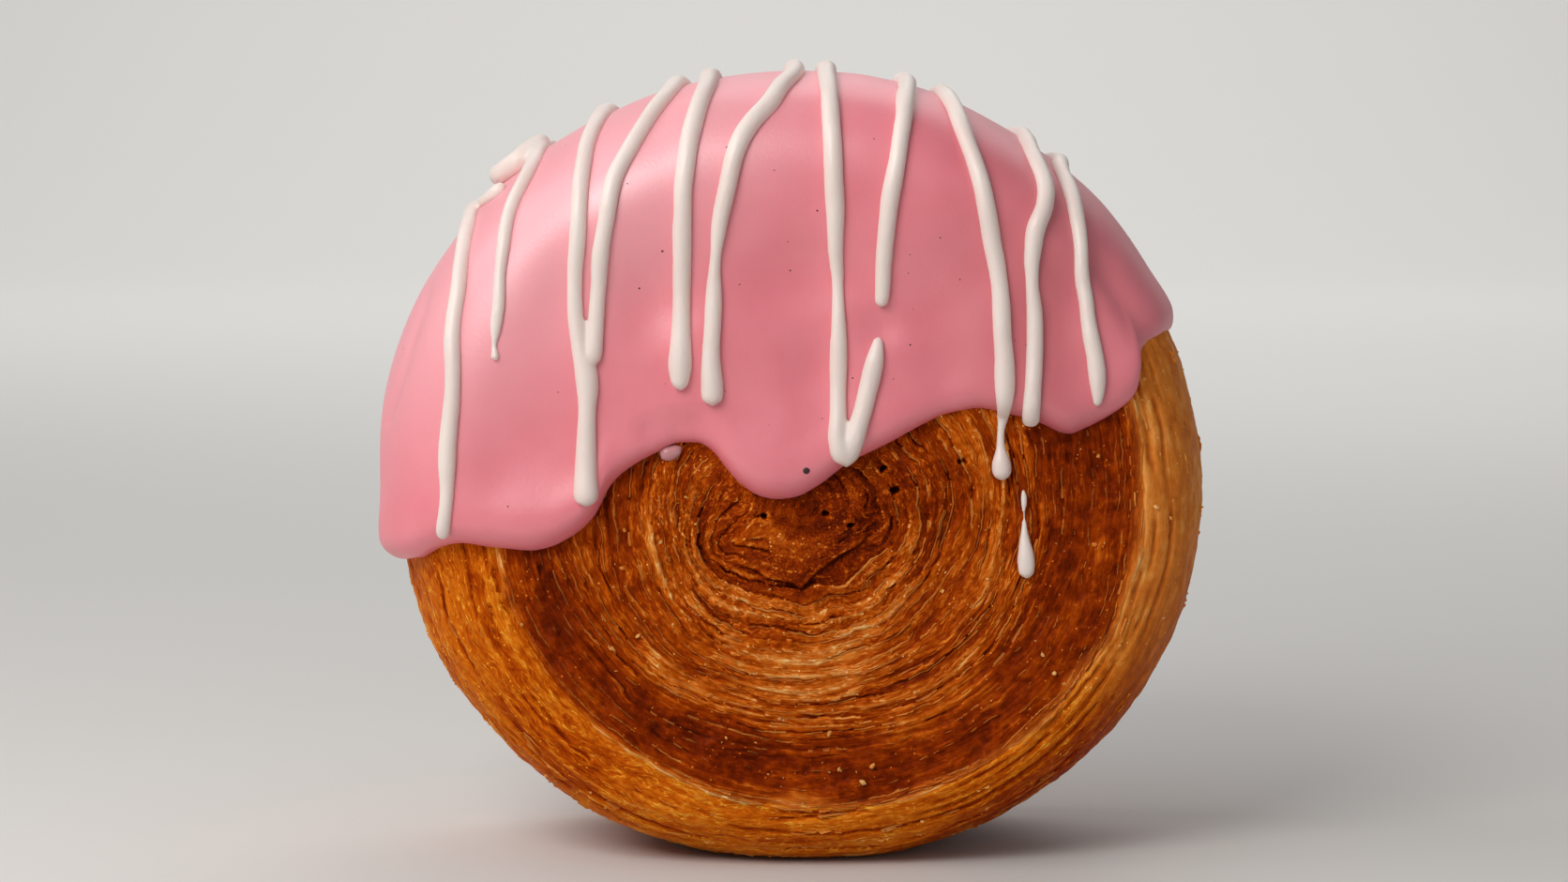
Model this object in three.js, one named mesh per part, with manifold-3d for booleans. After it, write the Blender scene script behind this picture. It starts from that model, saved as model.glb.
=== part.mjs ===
// A New York roll: a coil of laminated dough baked to a drum, standing on its edge, with a pink
// glaze over its upper half and white icing drizzled across the glaze.
// Millimetres, +Z up. The coil's axis lies along Y, the front face looks towards -Y, and the
// origin is the middle of the flat spot that the roll stands on.
import * as THREE from 'three';
import { mergeVertices } from 'three/addons/utils/BufferGeometryUtils.js';
import Module from 'manifold-3d';

// The drum of dough
const ROLL_RADIUS = 50;
const ROLL_THICKNESS = 44;
const FACE_RADIUS = 38; // flat part of each face, inside the rounded shoulder
const SHOULDER_POWER = 2.6; // 2 is an ellipse, a larger power is squarer
const SAG = 0.05; // share of its radius by which the soft lower half settles
const TOP_SAG = 0.015; // the same for the top
const FLATTER = 0.024; // share of its radius that the flatter upper right side lacks
const FLATTER_AT = THREE.MathUtils.degToRad(38); // angle of that side above +X
const AXIS_HEIGHT = 46;
const FOOT_EASE = 0.6; // height over which the round side eases into the flat spot
const DRUM_SIDES = 60;
const SHOULDER_ROWS = 6;

// The groove between the turns of the coil, on both faces
const COIL_PITCH = 4.2;
const COIL_START = 2.4;
const COIL_END = 42;
const COIL_STEP = 7;
const COIL_WIDEST_TURN = Math.PI / 7;
const GROOVE_WIDTH = 2.2;
const GROOVE_DEPTH = 1.1;
const GROOVE_CLEAR = 0.8; // how far the cutting edge stands out of the dough
const GROOVE_TAPER = 3; // steps over which a groove runs out at its ends
const GROOVE_UNDER_GLAZE = 4;

// The glaze
const GLAZE_THICKNESS = 2.1;
const GLAZE_HEAVY = 0.9; // extra thickness at the far left, where most of it has run down
const GLAZE_TOP_THIN = 0.75; // how much thinner it is at the top, where it has run down
const GLAZE_RIGHT_THIN = 0.6; // the same at the far right
const GLAZE_LIP = 2.8; // width of the rounded lower edge
const GLAZE_BEAD = 0.5; // extra thickness where the glaze has pooled above that edge
const GLAZE_GAP = 0.3; // clearance to the dough
const GLAZE_SUNK = 3; // depth of the cutting stock below the dough's surface
const GLAZE_COLUMNS = 60;
const GLAZE_ROWS = 10;
const GLAZE_LIP_ROWS = [2.8, 1.3, 0.35, 0]; // distances from the edge
const WAIST_SAMPLES = 120;
const MERIDIAN_SAMPLES = 40;

// Turns of the glaze's lower edge: distance round the waist from the front middle, to the right,
// and height above the axis. Low points are drips, high points the notches between them.
const EDGE_TURNS = [
  [-57, -9.5], [-40.5, -6.3], [-32.6, -7.2], [-13.5, 5.9], [-3, -1], [21.3, 10.3],
  [32.3, 7.1], [38.6, 10.2], [43.4, 18], [53, 20.5], [59, 20.5], [76, 22],
  [91, 8], [101, 13], [114, -4], [125, 6], [139, -7.5], [152, 2],
  [165, -8.5], [178, -4], [191, -11], [200, -9],
];

// The white icing: each line's route down the front as [across, above the axis], from the top
// of the roll to its end, the same down the back, and the rope's diameter.
const ROPE_SIDES = 5;
const ROPE_STEP = 6;
const ROPE_SEAT = 1.05; // height of the rope's middle, as a share of the glaze's thickness
const ROPE_END = 1.15; // swelling of the bead at each end
const DRIZZLE = [
  {
    wide: 2.1,
    front: [[-38.2, 32.3], [-39.6, 25.2], [-40.6, 8.3], [-41.5, -5.3]],
    back: [[-37, 26], [-36, 6]],
  },
  {
    wide: 1.7,
    front: [[-32.2, 38.2], [-33.9, 34.9], [-36, 23.7], [-36.3, 15.2]],
    back: [[-27, 36], [-28, 17]],
  },
  {
    wide: 2.4,
    front: [[-24.1, 43.8], [-27, 39.5], [-27.7, 29.4], [-26.8, 17.3], [-25.6, 10], [-25.8, -1.5]],
    back: [[-20, 38], [-22, 4]],
  },
  {
    wide: 2.3,
    front: [[-15.3, 47.6], [-19.1, 45.5], [-23, 37.3], [-24.3, 26], [-25.5, 15.5]],
    back: [[-12, 41], [-15, 14]],
  },
  {
    wide: 2.4,
    front: [[-11.2, 48.7], [-13.9, 40.9], [-14.2, 26], [-14.7, 13.1]],
    back: [[-6, 41], [-7, 21]],
  },
  {
    wide: 2.4,
    front: [[-0.8, 50], [-4.3, 47], [-8.2, 39.6], [-10.3, 28.4], [-10.8, 10.4]],
    back: [[1, 42], [-1, 4]],
  },
  {
    wide: 2.3,
    front: [[2.8, 49.9], [3.5, 41.5], [4.1, 25.2], [4.2, 8], [5.1, 4.6], [6.4, 7.5], [9, 17.5]],
    back: [[7, 40], [8, 14]],
  },
  {
    wide: 2.2,
    front: [[12.5, 48.4], [11.7, 41], [10.1, 29.5], [9.4, 22.2]],
    back: [[14, 39], [15, 22]],
  },
  {
    wide: 2.3,
    front: [[17.2, 46.9], [20.8, 41.6], [22.8, 31.8], [23.8, 19], [24.2, 9.8], [24.1, 1.5]],
    back: [[20, 37], [24, 3]],
  },
  {
    wide: 2.1,
    front: [[27.2, 42], [29.6, 36.8], [27.8, 31.8], [27.8, 20.6], [27.4, 7.9]],
    back: [[28, 32], [27, 15]],
  },
  {
    wide: 2.1,
    front: [[31.7, 38.7], [33.3, 33], [34.1, 22.7], [35, 11.4]],
    back: [[33.5, 28], [36, 20]],
  },
];

// One drop of icing that ran on to the bare front of the dough: [across, above the axis, diameter]
const DROP = [[26.7, -2.8, 0.7], [26.7, -5.5, 1.3], [26.8, -8.2, 2.1], [26.8, -10.5, 1.7]];
const DROP_SEAT = 0.1; // height of its middle above the dough, as a share of its width

const HALF_THICKNESS = ROLL_THICKNESS / 2;
const SHOULDER = ROLL_RADIUS - FACE_RADIUS;

const wasm = await Module();
wasm.setup();

// A closed three.js geometry as a solid, its faces pointing out.
function solidFrom(geometry) {
  const bare = geometry.clone();
  bare.deleteAttribute('normal');
  bare.deleteAttribute('uv');
  const merged = mergeVertices(bare, 1e-4);
  const corners = merged.index.array;
  const position = merged.attributes.position;
  const [a, b, c] = [new THREE.Vector3(), new THREE.Vector3(), new THREE.Vector3()];
  const kept = [];
  let volume = 0;
  for (let i = 0; i < corners.length; i += 3) {
    const [p, q, r] = corners.slice(i, i + 3);
    if (p === q || q === r || r === p) continue;
    kept.push([p, q, r]);
    a.fromBufferAttribute(position, p);
    b.fromBufferAttribute(position, q);
    c.fromBufferAttribute(position, r);
    volume += a.dot(b.cross(c));
  }
  if (volume < 0) kept.forEach((triangle) => triangle.reverse());
  const triVerts = Uint32Array.from(kept.flat());
  return new wasm.Manifold(new wasm.Mesh({ numProp: 3, vertProperties: position.array, triVerts }));
}

function geometryFrom(solid) {
  const mesh = solid.getMesh();
  const geometry = new THREE.BufferGeometry();
  geometry.setAttribute('position', new THREE.BufferAttribute(mesh.vertProperties, 3));
  geometry.setIndex(new THREE.BufferAttribute(mesh.triVerts, 1));
  geometry.computeVertexNormals();
  return geometry;
}

// A closed skin over rings of points, each ring joined to the next, with a tip at either end.
function skin(rings, firstTip, lastTip) {
  const points = [...rings.flat(), firstTip, lastTip];
  const sides = rings[0].length;
  const index = [];
  rings.forEach((ring, r) => {
    const here = r * sides;
    ring.forEach((_, s) => {
      const next = (s + 1) % sides;
      if (r === 0) index.push(points.length - 2, here + next, here + s);
      if (r === rings.length - 1) {
        index.push(points.length - 1, here + s, here + next);
        return;
      }
      index.push(here + s, here + next, here + sides + next);
      index.push(here + s, here + sides + next, here + sides + s);
    });
  });
  return new THREE.BufferGeometry().setFromPoints(points).setIndex(index);
}

// Half the dough's thickness at a distance from its axis.
function halfThickness(distance) {
  const out = Math.max(0, (distance - FACE_RADIUS) / SHOULDER);
  return HALF_THICKNESS * Math.max(0, 1 - out ** SHOULDER_POWER) ** (1 / SHOULDER_POWER);
}

// The dough's outward direction at a point of its surface.
function outward(point) {
  const distance = Math.hypot(point.x, point.z);
  const out = Math.max(0, (distance - FACE_RADIUS) / SHOULDER);
  const along = Math.abs(point.y) / HALF_THICKNESS;
  const radial = out ** (SHOULDER_POWER - 1) / SHOULDER / Math.max(distance, 1e-6);
  const axial = Math.sign(point.y) * along ** (SHOULDER_POWER - 1) / HALF_THICKNESS;
  return new THREE.Vector3(point.x * radial, axial, point.z * radial).normalize();
}

// The point of a face at a place seen from the front, on the front (-1) or the back (1).
function onFace(across, above, side) {
  return new THREE.Vector3(across, side * halfThickness(Math.hypot(across, above)), above);
}

// Where a ray from the middle of the dough leaves it.
function castOut(direction) {
  const way = direction.clone().normalize();
  let [near, far] = [0, ROLL_RADIUS + ROLL_THICKNESS];
  for (let i = 0; i < 40; i++) {
    const middle = (near + far) / 2;
    const p = way.clone().multiplyScalar(middle);
    const distance = Math.hypot(p.x, p.z);
    if (distance < ROLL_RADIUS && Math.abs(p.y) < halfThickness(distance)) near = middle;
    else far = middle;
  }
  return way.multiplyScalar(near);
}

// The soft roll settles out of round, and its lowest part is pressed flat on what it stands on.
function settle(geometry) {
  const position = geometry.attributes.position;
  for (let i = 0; i < position.count; i++) {
    const bearing = Math.atan2(position.getZ(i), position.getX(i));
    const round = 1 - FLATTER * Math.max(0, Math.cos(bearing - FLATTER_AT)) ** 4;
    const z = position.getZ(i) * round;
    const sag = z < 0 ? SAG : TOP_SAG;
    const height = z * (1 - sag * (z / ROLL_RADIUS) ** 2) + AXIS_HEIGHT;
    const eased = Math.max(0, 1 - Math.abs(height) / FOOT_EASE);
    position.setX(i, position.getX(i) * round);
    position.setZ(i, Math.max(height, 0) + eased ** 2 * FOOT_EASE / 4 - AXIS_HEIGHT);
  }
  return geometry;
}

// The drum, or the drum grown by a clearance all over.
function drum(grown) {
  const shoulder = [];
  for (let row = 1; row < SHOULDER_ROWS; row++) {
    const turn = (row / SHOULDER_ROWS) * Math.PI / 2;
    shoulder.push([
      FACE_RADIUS + SHOULDER * Math.sin(turn) ** (2 / SHOULDER_POWER),
      HALF_THICKNESS * Math.cos(turn) ** (2 / SHOULDER_POWER),
    ]);
  }
  const front = [[FACE_RADIUS, HALF_THICKNESS], ...shoulder, [ROLL_RADIUS, 0]].map(([r, y]) => {
    const away = outward(new THREE.Vector3(r, -y, 0)).multiplyScalar(grown);
    return new THREE.Vector2(r + away.x, away.y - y);
  });
  const back = front.slice(0, -1).reverse().map((p) => new THREE.Vector2(p.x, -p.y));
  const face = HALF_THICKNESS + grown;
  const profile = [new THREE.Vector2(0, -face), ...front, ...back, new THREE.Vector2(0, face)];
  return solidFrom(settle(new THREE.LatheGeometry(profile, DRUM_SIDES)));
}

// The horizontal outline of the drum at its axis, from the front middle round to the right.
function waistCurve() {
  const points = [];
  for (let i = 0; i < WAIST_SAMPLES; i++) {
    const turn = (2 * Math.PI * i) / WAIST_SAMPLES;
    points.push(castOut(new THREE.Vector3(Math.sin(turn), -Math.cos(turn), 0)));
  }
  return new THREE.CatmullRomCurve3(points, true);
}

const waist = waistCurve();
const WAIST_LENGTH = waist.getLength();

// Height of the glaze's lower edge at a distance round the waist.
function edgeHeight(round) {
  const first = EDGE_TURNS[0][0];
  const turns = [...EDGE_TURNS, [first + WAIST_LENGTH, EDGE_TURNS[0][1]]];
  const here = first + THREE.MathUtils.euclideanModulo(round - first, WAIST_LENGTH);
  const next = turns.findIndex(([at]) => at > here);
  const [[from, low], [to, high]] = [turns[next - 1], turns[next]];
  return THREE.MathUtils.lerp(low, high, THREE.MathUtils.smoothstep(here, from, to));
}

// Angle and radius of each step along the coil, from its heart out over the shoulder.
function coilSteps() {
  const steps = [];
  let angle = 0;
  let radius = COIL_START;
  while (radius < COIL_END) {
    steps.push({ angle, radius });
    angle += Math.min(COIL_WIDEST_TURN, COIL_STEP / radius);
    radius = COIL_START + (COIL_PITCH * angle) / (2 * Math.PI);
  }
  return steps;
}

// The stretches of the coil that show below the glaze on one side of the roll.
function shownStretches(side) {
  const stretches = [[]];
  for (const { angle, radius } of coilSteps()) {
    const point = onFace(radius * Math.cos(angle), radius * Math.sin(angle), side);
    const round = side < 0 ? point.x : WAIST_LENGTH / 2 - point.x;
    const shows = point.z < edgeHeight(round) + GROOVE_UNDER_GLAZE;
    if (shows) stretches.at(-1).push(point);
    else if (stretches.at(-1).length) stretches.push([]);
  }
  return stretches.filter((points) => points.length > 2 * GROOVE_TAPER);
}

// A tool with a V section that cuts one stretch of groove.
function grooveTool(points) {
  const rings = points.map((point, i) => {
    const out = outward(point);
    const across = new THREE.Vector3(point.x, 0, point.z).normalize();
    across.addScaledVector(out, -across.dot(out)).normalize();
    const share = Math.min(1, (Math.min(i, points.length - 1 - i) + 0.5) / GROOVE_TAPER);
    const half = (GROOVE_WIDTH / 2) * (1 + GROOVE_CLEAR / GROOVE_DEPTH);
    const top = point.clone().addScaledVector(out, GROOVE_CLEAR);
    return [
      top.clone().addScaledVector(across, half),
      top.clone().addScaledVector(across, -half),
      point.clone().addScaledVector(out, -GROOVE_DEPTH * share),
    ];
  });
  const middle = (ring) => ring.reduce((sum, p) => sum.add(p), new THREE.Vector3()).divideScalar(3);
  return solidFrom(settle(skin(rings, middle(rings[0]), middle(rings.at(-1)))));
}

// A round rope through points that each hold a middle, an outward direction and a radius.
function rope(stations) {
  const ahead = (i) => {
    const from = stations[Math.max(0, i - 1)].middle;
    const to = stations[Math.min(stations.length - 1, i + 1)].middle;
    return to.clone().sub(from).normalize();
  };
  const rings = stations.map(({ middle, out, radius }, i) => {
    const sideways = new THREE.Vector3().crossVectors(ahead(i), out).normalize();
    const upward = new THREE.Vector3().crossVectors(sideways, ahead(i)).normalize();
    return Array.from({ length: ROPE_SIDES }, (_, s) => {
      const turn = (2 * Math.PI * (s + 0.5)) / ROPE_SIDES;
      return middle.clone()
        .addScaledVector(sideways, radius * Math.cos(turn))
        .addScaledVector(upward, radius * Math.sin(turn));
    });
  });
  const tip = (i, way) => {
    const { middle, radius } = stations[i];
    return middle.clone().addScaledVector(ahead(i), way * radius * 0.8);
  };
  return solidFrom(settle(skin(rings, tip(0, -1), tip(stations.length - 1, 1))));
}

// One line of icing, laid from its end on the back over the top to its end on the front.
function icingLine({ wide, front, back }) {
  const places = [
    ...back.toReversed().map(([across, above]) => onFace(across, above, 1)),
    ...front.map(([across, above]) => onFace(across, above, -1)),
  ];
  const route = new THREE.CatmullRomCurve3(places, false, 'centripetal');
  const count = Math.round(route.getLength() / ROPE_STEP);
  const stations = route.getSpacedPoints(count).map((point, i) => {
    const seat = castOut(point);
    const out = outward(seat);
    const swell = i === 0 || i === count ? ROPE_END : 1;
    const height = glazeThickness(seat, ROLL_RADIUS) * ROPE_SEAT;
    const middle = seat.clone().addScaledVector(out, height);
    return { middle, out, radius: (wide / 2) * swell };
  });
  return rope(stations);
}

// The drop of icing on the bare dough.
function icingDrop() {
  const stations = DROP.map(([across, above, wide]) => {
    const seat = onFace(across, above, -1);
    const out = outward(seat);
    return { middle: seat.addScaledVector(out, wide * DROP_SEAT), out, radius: wide / 2 };
  });
  return rope(stations);
}

// The glaze's thickness at a distance from its lower edge: a round lip, a bead, then an even coat.
function glazeThickness(point, fromEdge) {
  const heavy = GLAZE_HEAVY * Math.max(0, -point.x / ROLL_RADIUS) ** 5;
  const thin = GLAZE_TOP_THIN * THREE.MathUtils.smoothstep(point.z, 32, 50)
    + GLAZE_RIGHT_THIN * THREE.MathUtils.smoothstep(point.x, 36, 48);
  const coat = GLAZE_THICKNESS + heavy - thin;
  const lip = Math.min(1, fromEdge / GLAZE_LIP);
  const bead = GLAZE_BEAD * Math.max(0, 1 - (fromEdge / GLAZE_LIP - 1) ** 2);
  return (coat + bead) * Math.sqrt(1 - (1 - lip) ** 2);
}

// The glaze's outer surface down one meridian, from just off the top to its lower edge.
function glazeMeridian(column) {
  const share = column / GLAZE_COLUMNS;
  const foot = waist.getPointAt(share);
  const edge = castOut(foot.clone().setZ(edgeHeight(share * WAIST_LENGTH)));
  const lowest = Math.atan2(Math.hypot(edge.x, edge.y), edge.z);
  const bearing = Math.atan2(foot.x, -foot.y);
  const points = [];
  for (let i = 0; i <= MERIDIAN_SAMPLES; i++) {
    const polar = (lowest * i) / MERIDIAN_SAMPLES;
    const level = Math.sin(polar);
    points.push(castOut(new THREE.Vector3(
      level * Math.sin(bearing), -level * Math.cos(bearing), Math.cos(polar))));
  }
  const path = new THREE.CatmullRomCurve3(points);
  const length = path.getLength();
  const distances = Array.from({ length: GLAZE_ROWS }, (_, i) =>
    THREE.MathUtils.lerp(length, GLAZE_LIP_ROWS[0], (i + 1) / (GLAZE_ROWS + 1)));
  const rows = [...distances, ...GLAZE_LIP_ROWS].map((fromEdge) => {
    const point = path.getPointAt(1 - fromEdge / length);
    return point.clone().addScaledVector(outward(point), glazeThickness(point, fromEdge));
  });
  return [...rows, edge.clone().addScaledVector(outward(edge), -GLAZE_SUNK)];
}

// The cap of glaze, filled down to the middle of the roll.
function glazeStock() {
  const columns = Array.from({ length: GLAZE_COLUMNS }, (_, c) => glazeMeridian(c));
  const rings = columns[0].map((_, row) => columns.map((column) => column[row]));
  const top = castOut(new THREE.Vector3(0, 0, 1));
  top.z += glazeThickness(top, ROLL_RADIUS);
  return solidFrom(settle(skin(rings, top, new THREE.Vector3())));
}

function makeRoll() {
  const tools = [-1, 1].flatMap((side) => shownStretches(side).map(grooveTool));
  const grooved = tools.reduce((dough, tool) => dough.subtract(tool), drum(0));
  return grooved.add(icingDrop());
}

function makeGlaze() {
  const iced = DRIZZLE.map(icingLine).reduce((glaze, line) => glaze.add(line), glazeStock());
  return iced.subtract(drum(GLAZE_GAP));
}

function part(name, solid, colour, roughness) {
  const material = new THREE.MeshStandardMaterial({ color: colour, roughness, metalness: 0 });
  const mesh = new THREE.Mesh(geometryFrom(solid), material);
  mesh.name = name;
  mesh.position.z = AXIS_HEIGHT;
  return mesh;
}

const newYorkRoll = new THREE.Group();
newYorkRoll.add(part('roll', makeRoll(), 0xb06a26, 0.55));
newYorkRoll.add(part('glaze', makeGlaze(), 0xe08a98, 0.35));

export default newYorkRoll;
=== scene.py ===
# %% [markdown]
# # A New York roll
# A coil of laminated dough is baked in a ring until it is a golden drum. It is then stood on its
# edge, its upper half is dipped in pink glaze, and white icing is drizzled over the glaze.
# This lesson dresses the plain solids of the roll: the flaky crust, the soft coat of glaze, the
# ropes of icing, and the small things that lie on them.

import itertools
import math
from types import SimpleNamespace

import bpy
import numpy as np
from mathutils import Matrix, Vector


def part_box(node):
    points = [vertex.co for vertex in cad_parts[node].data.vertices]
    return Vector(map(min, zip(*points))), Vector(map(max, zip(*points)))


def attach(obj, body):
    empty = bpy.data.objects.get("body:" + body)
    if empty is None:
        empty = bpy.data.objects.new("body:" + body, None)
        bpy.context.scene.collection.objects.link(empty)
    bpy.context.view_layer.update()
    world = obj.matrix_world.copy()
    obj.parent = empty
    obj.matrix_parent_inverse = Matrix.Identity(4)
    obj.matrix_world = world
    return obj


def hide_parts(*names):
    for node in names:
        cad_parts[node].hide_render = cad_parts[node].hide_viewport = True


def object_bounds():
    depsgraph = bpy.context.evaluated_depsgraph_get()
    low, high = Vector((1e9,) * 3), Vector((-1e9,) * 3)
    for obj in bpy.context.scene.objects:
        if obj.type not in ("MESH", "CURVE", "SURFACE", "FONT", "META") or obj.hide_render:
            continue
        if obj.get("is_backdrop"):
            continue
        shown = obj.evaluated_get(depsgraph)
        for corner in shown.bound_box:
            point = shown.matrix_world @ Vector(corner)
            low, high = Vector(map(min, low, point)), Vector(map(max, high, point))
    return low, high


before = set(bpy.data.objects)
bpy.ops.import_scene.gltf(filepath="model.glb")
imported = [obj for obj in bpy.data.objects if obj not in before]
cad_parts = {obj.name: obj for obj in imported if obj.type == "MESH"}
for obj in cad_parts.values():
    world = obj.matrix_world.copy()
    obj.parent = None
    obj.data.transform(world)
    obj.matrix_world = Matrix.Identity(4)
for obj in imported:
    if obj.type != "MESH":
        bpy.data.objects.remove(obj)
CAD_LOW, CAD_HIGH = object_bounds()
print("solids:", sorted(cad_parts))

# %% [markdown]
# ## The form underneath
# Every piece lies on one form: a drum with flat faces and soft shoulders, its axis along Y. A
# shoulder is a superellipse, which is a squarer ellipse. The dough also settles: it sags, it is a
# little flatter at the upper right, and it is pressed flat where it stands. The form is worked out
# about the drum's own axis first, and `settle` is the last step of every piece.

# %% Sizes of the drum
MM = 0.001
roll_low, roll_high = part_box("roll")
ROLL_RADIUS = -roll_low.x
HALF_THICKNESS = roll_high.y
FACE_RADIUS = 38 * MM
SHOULDER = ROLL_RADIUS - FACE_RADIUS
SHOULDER_POWER = 2.6
AXIS_HEIGHT = 46 * MM
SAG, TOP_SAG = 0.05, 0.015
FLATTER, FLATTER_AT = 0.024, math.radians(38)
FOOT_EASE = 0.6 * MM
print(f"drum {2000 * ROLL_RADIUS:.1f} mm across, {2000 * HALF_THICKNESS:.1f} mm thick")


# %% Functions of the drum
def smoothstep(low, high, value):
    share = np.clip((value - low) / (high - low), 0, 1)
    return share * share * (3 - 2 * share)


def half_thickness(distance):
    out = np.clip((distance - FACE_RADIUS) / SHOULDER, 0, 1)
    return HALF_THICKNESS * (1 - out**SHOULDER_POWER) ** (1 / SHOULDER_POWER)


def outward(points):
    """The drum's outward direction at points of its surface."""
    x, y, z = points.T
    distance = np.hypot(x, z)
    out = np.clip((distance - FACE_RADIUS) / SHOULDER, 0, None)
    radial = out ** (SHOULDER_POWER - 1) / SHOULDER / np.maximum(distance, 1e-9)
    axial = np.sign(y) * (np.abs(y) / HALF_THICKNESS) ** (SHOULDER_POWER - 1) / HALF_THICKNESS
    ways = np.column_stack([x * radial, axial, z * radial])
    return ways / np.linalg.norm(ways, axis=1, keepdims=True)


def cast_out(ways):
    """Where rays from the middle of the drum leave it."""
    ways = ways / np.linalg.norm(ways, axis=1, keepdims=True)
    near = np.zeros(len(ways))
    far = np.full(len(ways), ROLL_RADIUS + 2 * HALF_THICKNESS)
    for _ in range(36):
        middle = (near + far) / 2
        x, y, z = (ways * middle[:, None]).T
        distance = np.hypot(x, z)
        inside = (distance < ROLL_RADIUS) & (np.abs(y) < half_thickness(distance))
        near = np.where(inside, middle, near)
        far = np.where(inside, far, middle)
    return ways * near[:, None]


def on_face(across, above, side):
    """Points of the front (side -1) or back (1) at places seen from the front."""
    return np.column_stack([across, side * half_thickness(np.hypot(across, above)), above])


def settle(points):
    """Sags the form, presses its foot flat and lifts it on to the floor."""
    x, y, z = points.T
    bearing = np.arctan2(z, x)
    rounding = 1 - FLATTER * np.clip(np.cos(bearing - FLATTER_AT), 0, None) ** 4
    z = z * rounding
    height = z * (1 - np.where(z < 0, SAG, TOP_SAG) * (z / ROLL_RADIUS) ** 2) + AXIS_HEIGHT
    eased = np.clip(1 - np.abs(height) / FOOT_EASE, 0, None)
    return np.column_stack([x * rounding, y, np.maximum(height, 0) + eased**2 * FOOT_EASE / 4])


# %% [markdown]
# ## Unevenness
# Dough and glaze are never even. Smooth noise gives bumps of a chosen size: random numbers at the
# points of a lattice, eased from one to the next. It is seeded, so each run makes the same roll.


# %% Smooth noise
def lattice_value(cells, seed):
    x, y, z = cells.astype(np.uint32).T
    mixed = x * np.uint32(374761393) + y * np.uint32(668265263) + z * np.uint32(2246822519)
    mixed = mixed + np.uint32(seed * 3266489 + 974711)
    mixed = (mixed ^ (mixed >> 13)) * np.uint32(1274126177)
    mixed = (mixed ^ (mixed >> 15)) * np.uint32(2654435769)
    return ((mixed ^ (mixed >> 16)) / 2**31) - 1


def noise(seed, *places):
    """Noise from -1 to 1 with about one bump per unit of the places given."""
    points = np.column_stack(np.broadcast_arrays(*places, *[np.zeros(1)] * (3 - len(places))))
    cells = np.floor(points)
    part = points - cells
    fade = part**3 * (part * (part * 6 - 15) + 10)
    total = np.zeros(len(points))
    for corner in itertools.product((0, 1), repeat=3):
        weight = np.prod(np.where(corner, fade, 1 - fade), axis=1)
        total += weight * lattice_value((cells + corner).astype(np.int64), seed)
    return total


print("noise sample:", noise(1, np.linspace(0, 3, 4), np.full(4, 0.5)).round(2))

# %% [markdown]
# ## A ball that becomes a piece
# The crust and the glaze are both closed skins with a pole at either end, as a UV sphere is. So a
# sphere is added, the row and column of each vertex are read from where it stands, and the vertices
# are then moved to the piece's own rows and columns.


# %% Make a ball and move its vertices
def vertex_places(piece):
    places = np.empty(3 * len(piece.data.vertices))
    piece.data.vertices.foreach_get("co", places)
    return places.reshape(-1, 3)


def whole_steps(share, steps):
    """The number of each step, also where all of them stand half a step on."""
    return np.floor(share * steps + 0.25).astype(int)


def name_piece(name):
    """Names the object that was just added."""
    piece = bpy.context.object
    piece.name = piece.data.name = name
    return piece


def new_ball(name, columns, rows):
    """A ball, with the row and column of each of its vertices."""
    bpy.ops.object.select_all(action="DESELECT")
    bpy.ops.mesh.primitive_uv_sphere_add(segments=columns, ring_count=rows, radius=1)
    ball = name_piece(name)
    x, y, z = vertex_places(ball).T
    row = whole_steps(np.arccos(np.clip(z, -1, 1)) / np.pi, rows)
    column = whole_steps(np.arctan2(y, x) / (2 * np.pi), columns) % columns
    return ball, row, column


def move_vertices(piece, points):
    piece.data.vertices.foreach_set("co", points.ravel())
    piece.data.update()
    bpy.ops.object.mode_set(mode="EDIT")
    bpy.ops.mesh.select_all(action="SELECT")
    bpy.ops.mesh.normals_make_consistent(inside=False)
    bpy.ops.object.mode_set(mode="OBJECT")


def keep_on_vertices(piece, **stored):
    """Stores numbers, one or three for each vertex, under names that the material reads."""
    for name, values in stored.items():
        kind, field = ("FLOAT", "value") if values.ndim == 1 else ("FLOAT_VECTOR", "vector")
        piece.data.attributes.new(name, kind, "POINT").data.foreach_set(field, values.ravel())


def count_triangles(piece):
    return sum(len(face.vertices) - 2 for face in piece.data.polygons)


# %% [markdown]
# ## Where the glaze ends
# The dough shows below the glaze's wavy edge. The edge is given by points, as distance round the
# drum's waist from the front middle and height above the axis: low ones are drips, high ones are
# the notches between them. The curve through them never overshoots, so a notch stays where it is
# put.

# %% The glaze's lower edge
EDGE = MM * np.array([
    [-62, -8.6], [-55, -9.4], [-48, -8.5], [-44, -6.9], [-40.5, -6.3], [-37.1, -6.7],
    [-32.6, -7.2], [-30, -6.7], [-28.1, -5.7], [-25.8, -3.9], [-24.5, -2.3], [-23.4, 0],
    [-22.3, 1.5], [-20.2, 3.2], [-17.4, 4.8], [-14.5, 5.8], [-12.6, 5.8], [-11, 5.1], [-9, 2.7],
    [-7.4, 0.9], [-5, -0.6], [-3, -1], [-1.2, -0.8], [1.7, 0.6], [5.6, 3.5], [10, 5.7],
    [14.6, 8.2], [18, 9.7], [21.3, 10.3], [24, 9.8], [28.7, 8.3], [32.3, 7.1], [34, 7.7],
    [38.6, 10.2], [40.8, 12], [41.7, 14], [42.2, 16], [43.8, 18.2], [46.5, 19.6], [53, 20.5],
    [59, 20.5], [76, 22], [91, 8], [101, 13], [114, -4], [125, 6], [139, -7.5], [152, 2],
    [165, -8.5], [178, -4], [191, -11], [197, -9],
])

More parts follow.
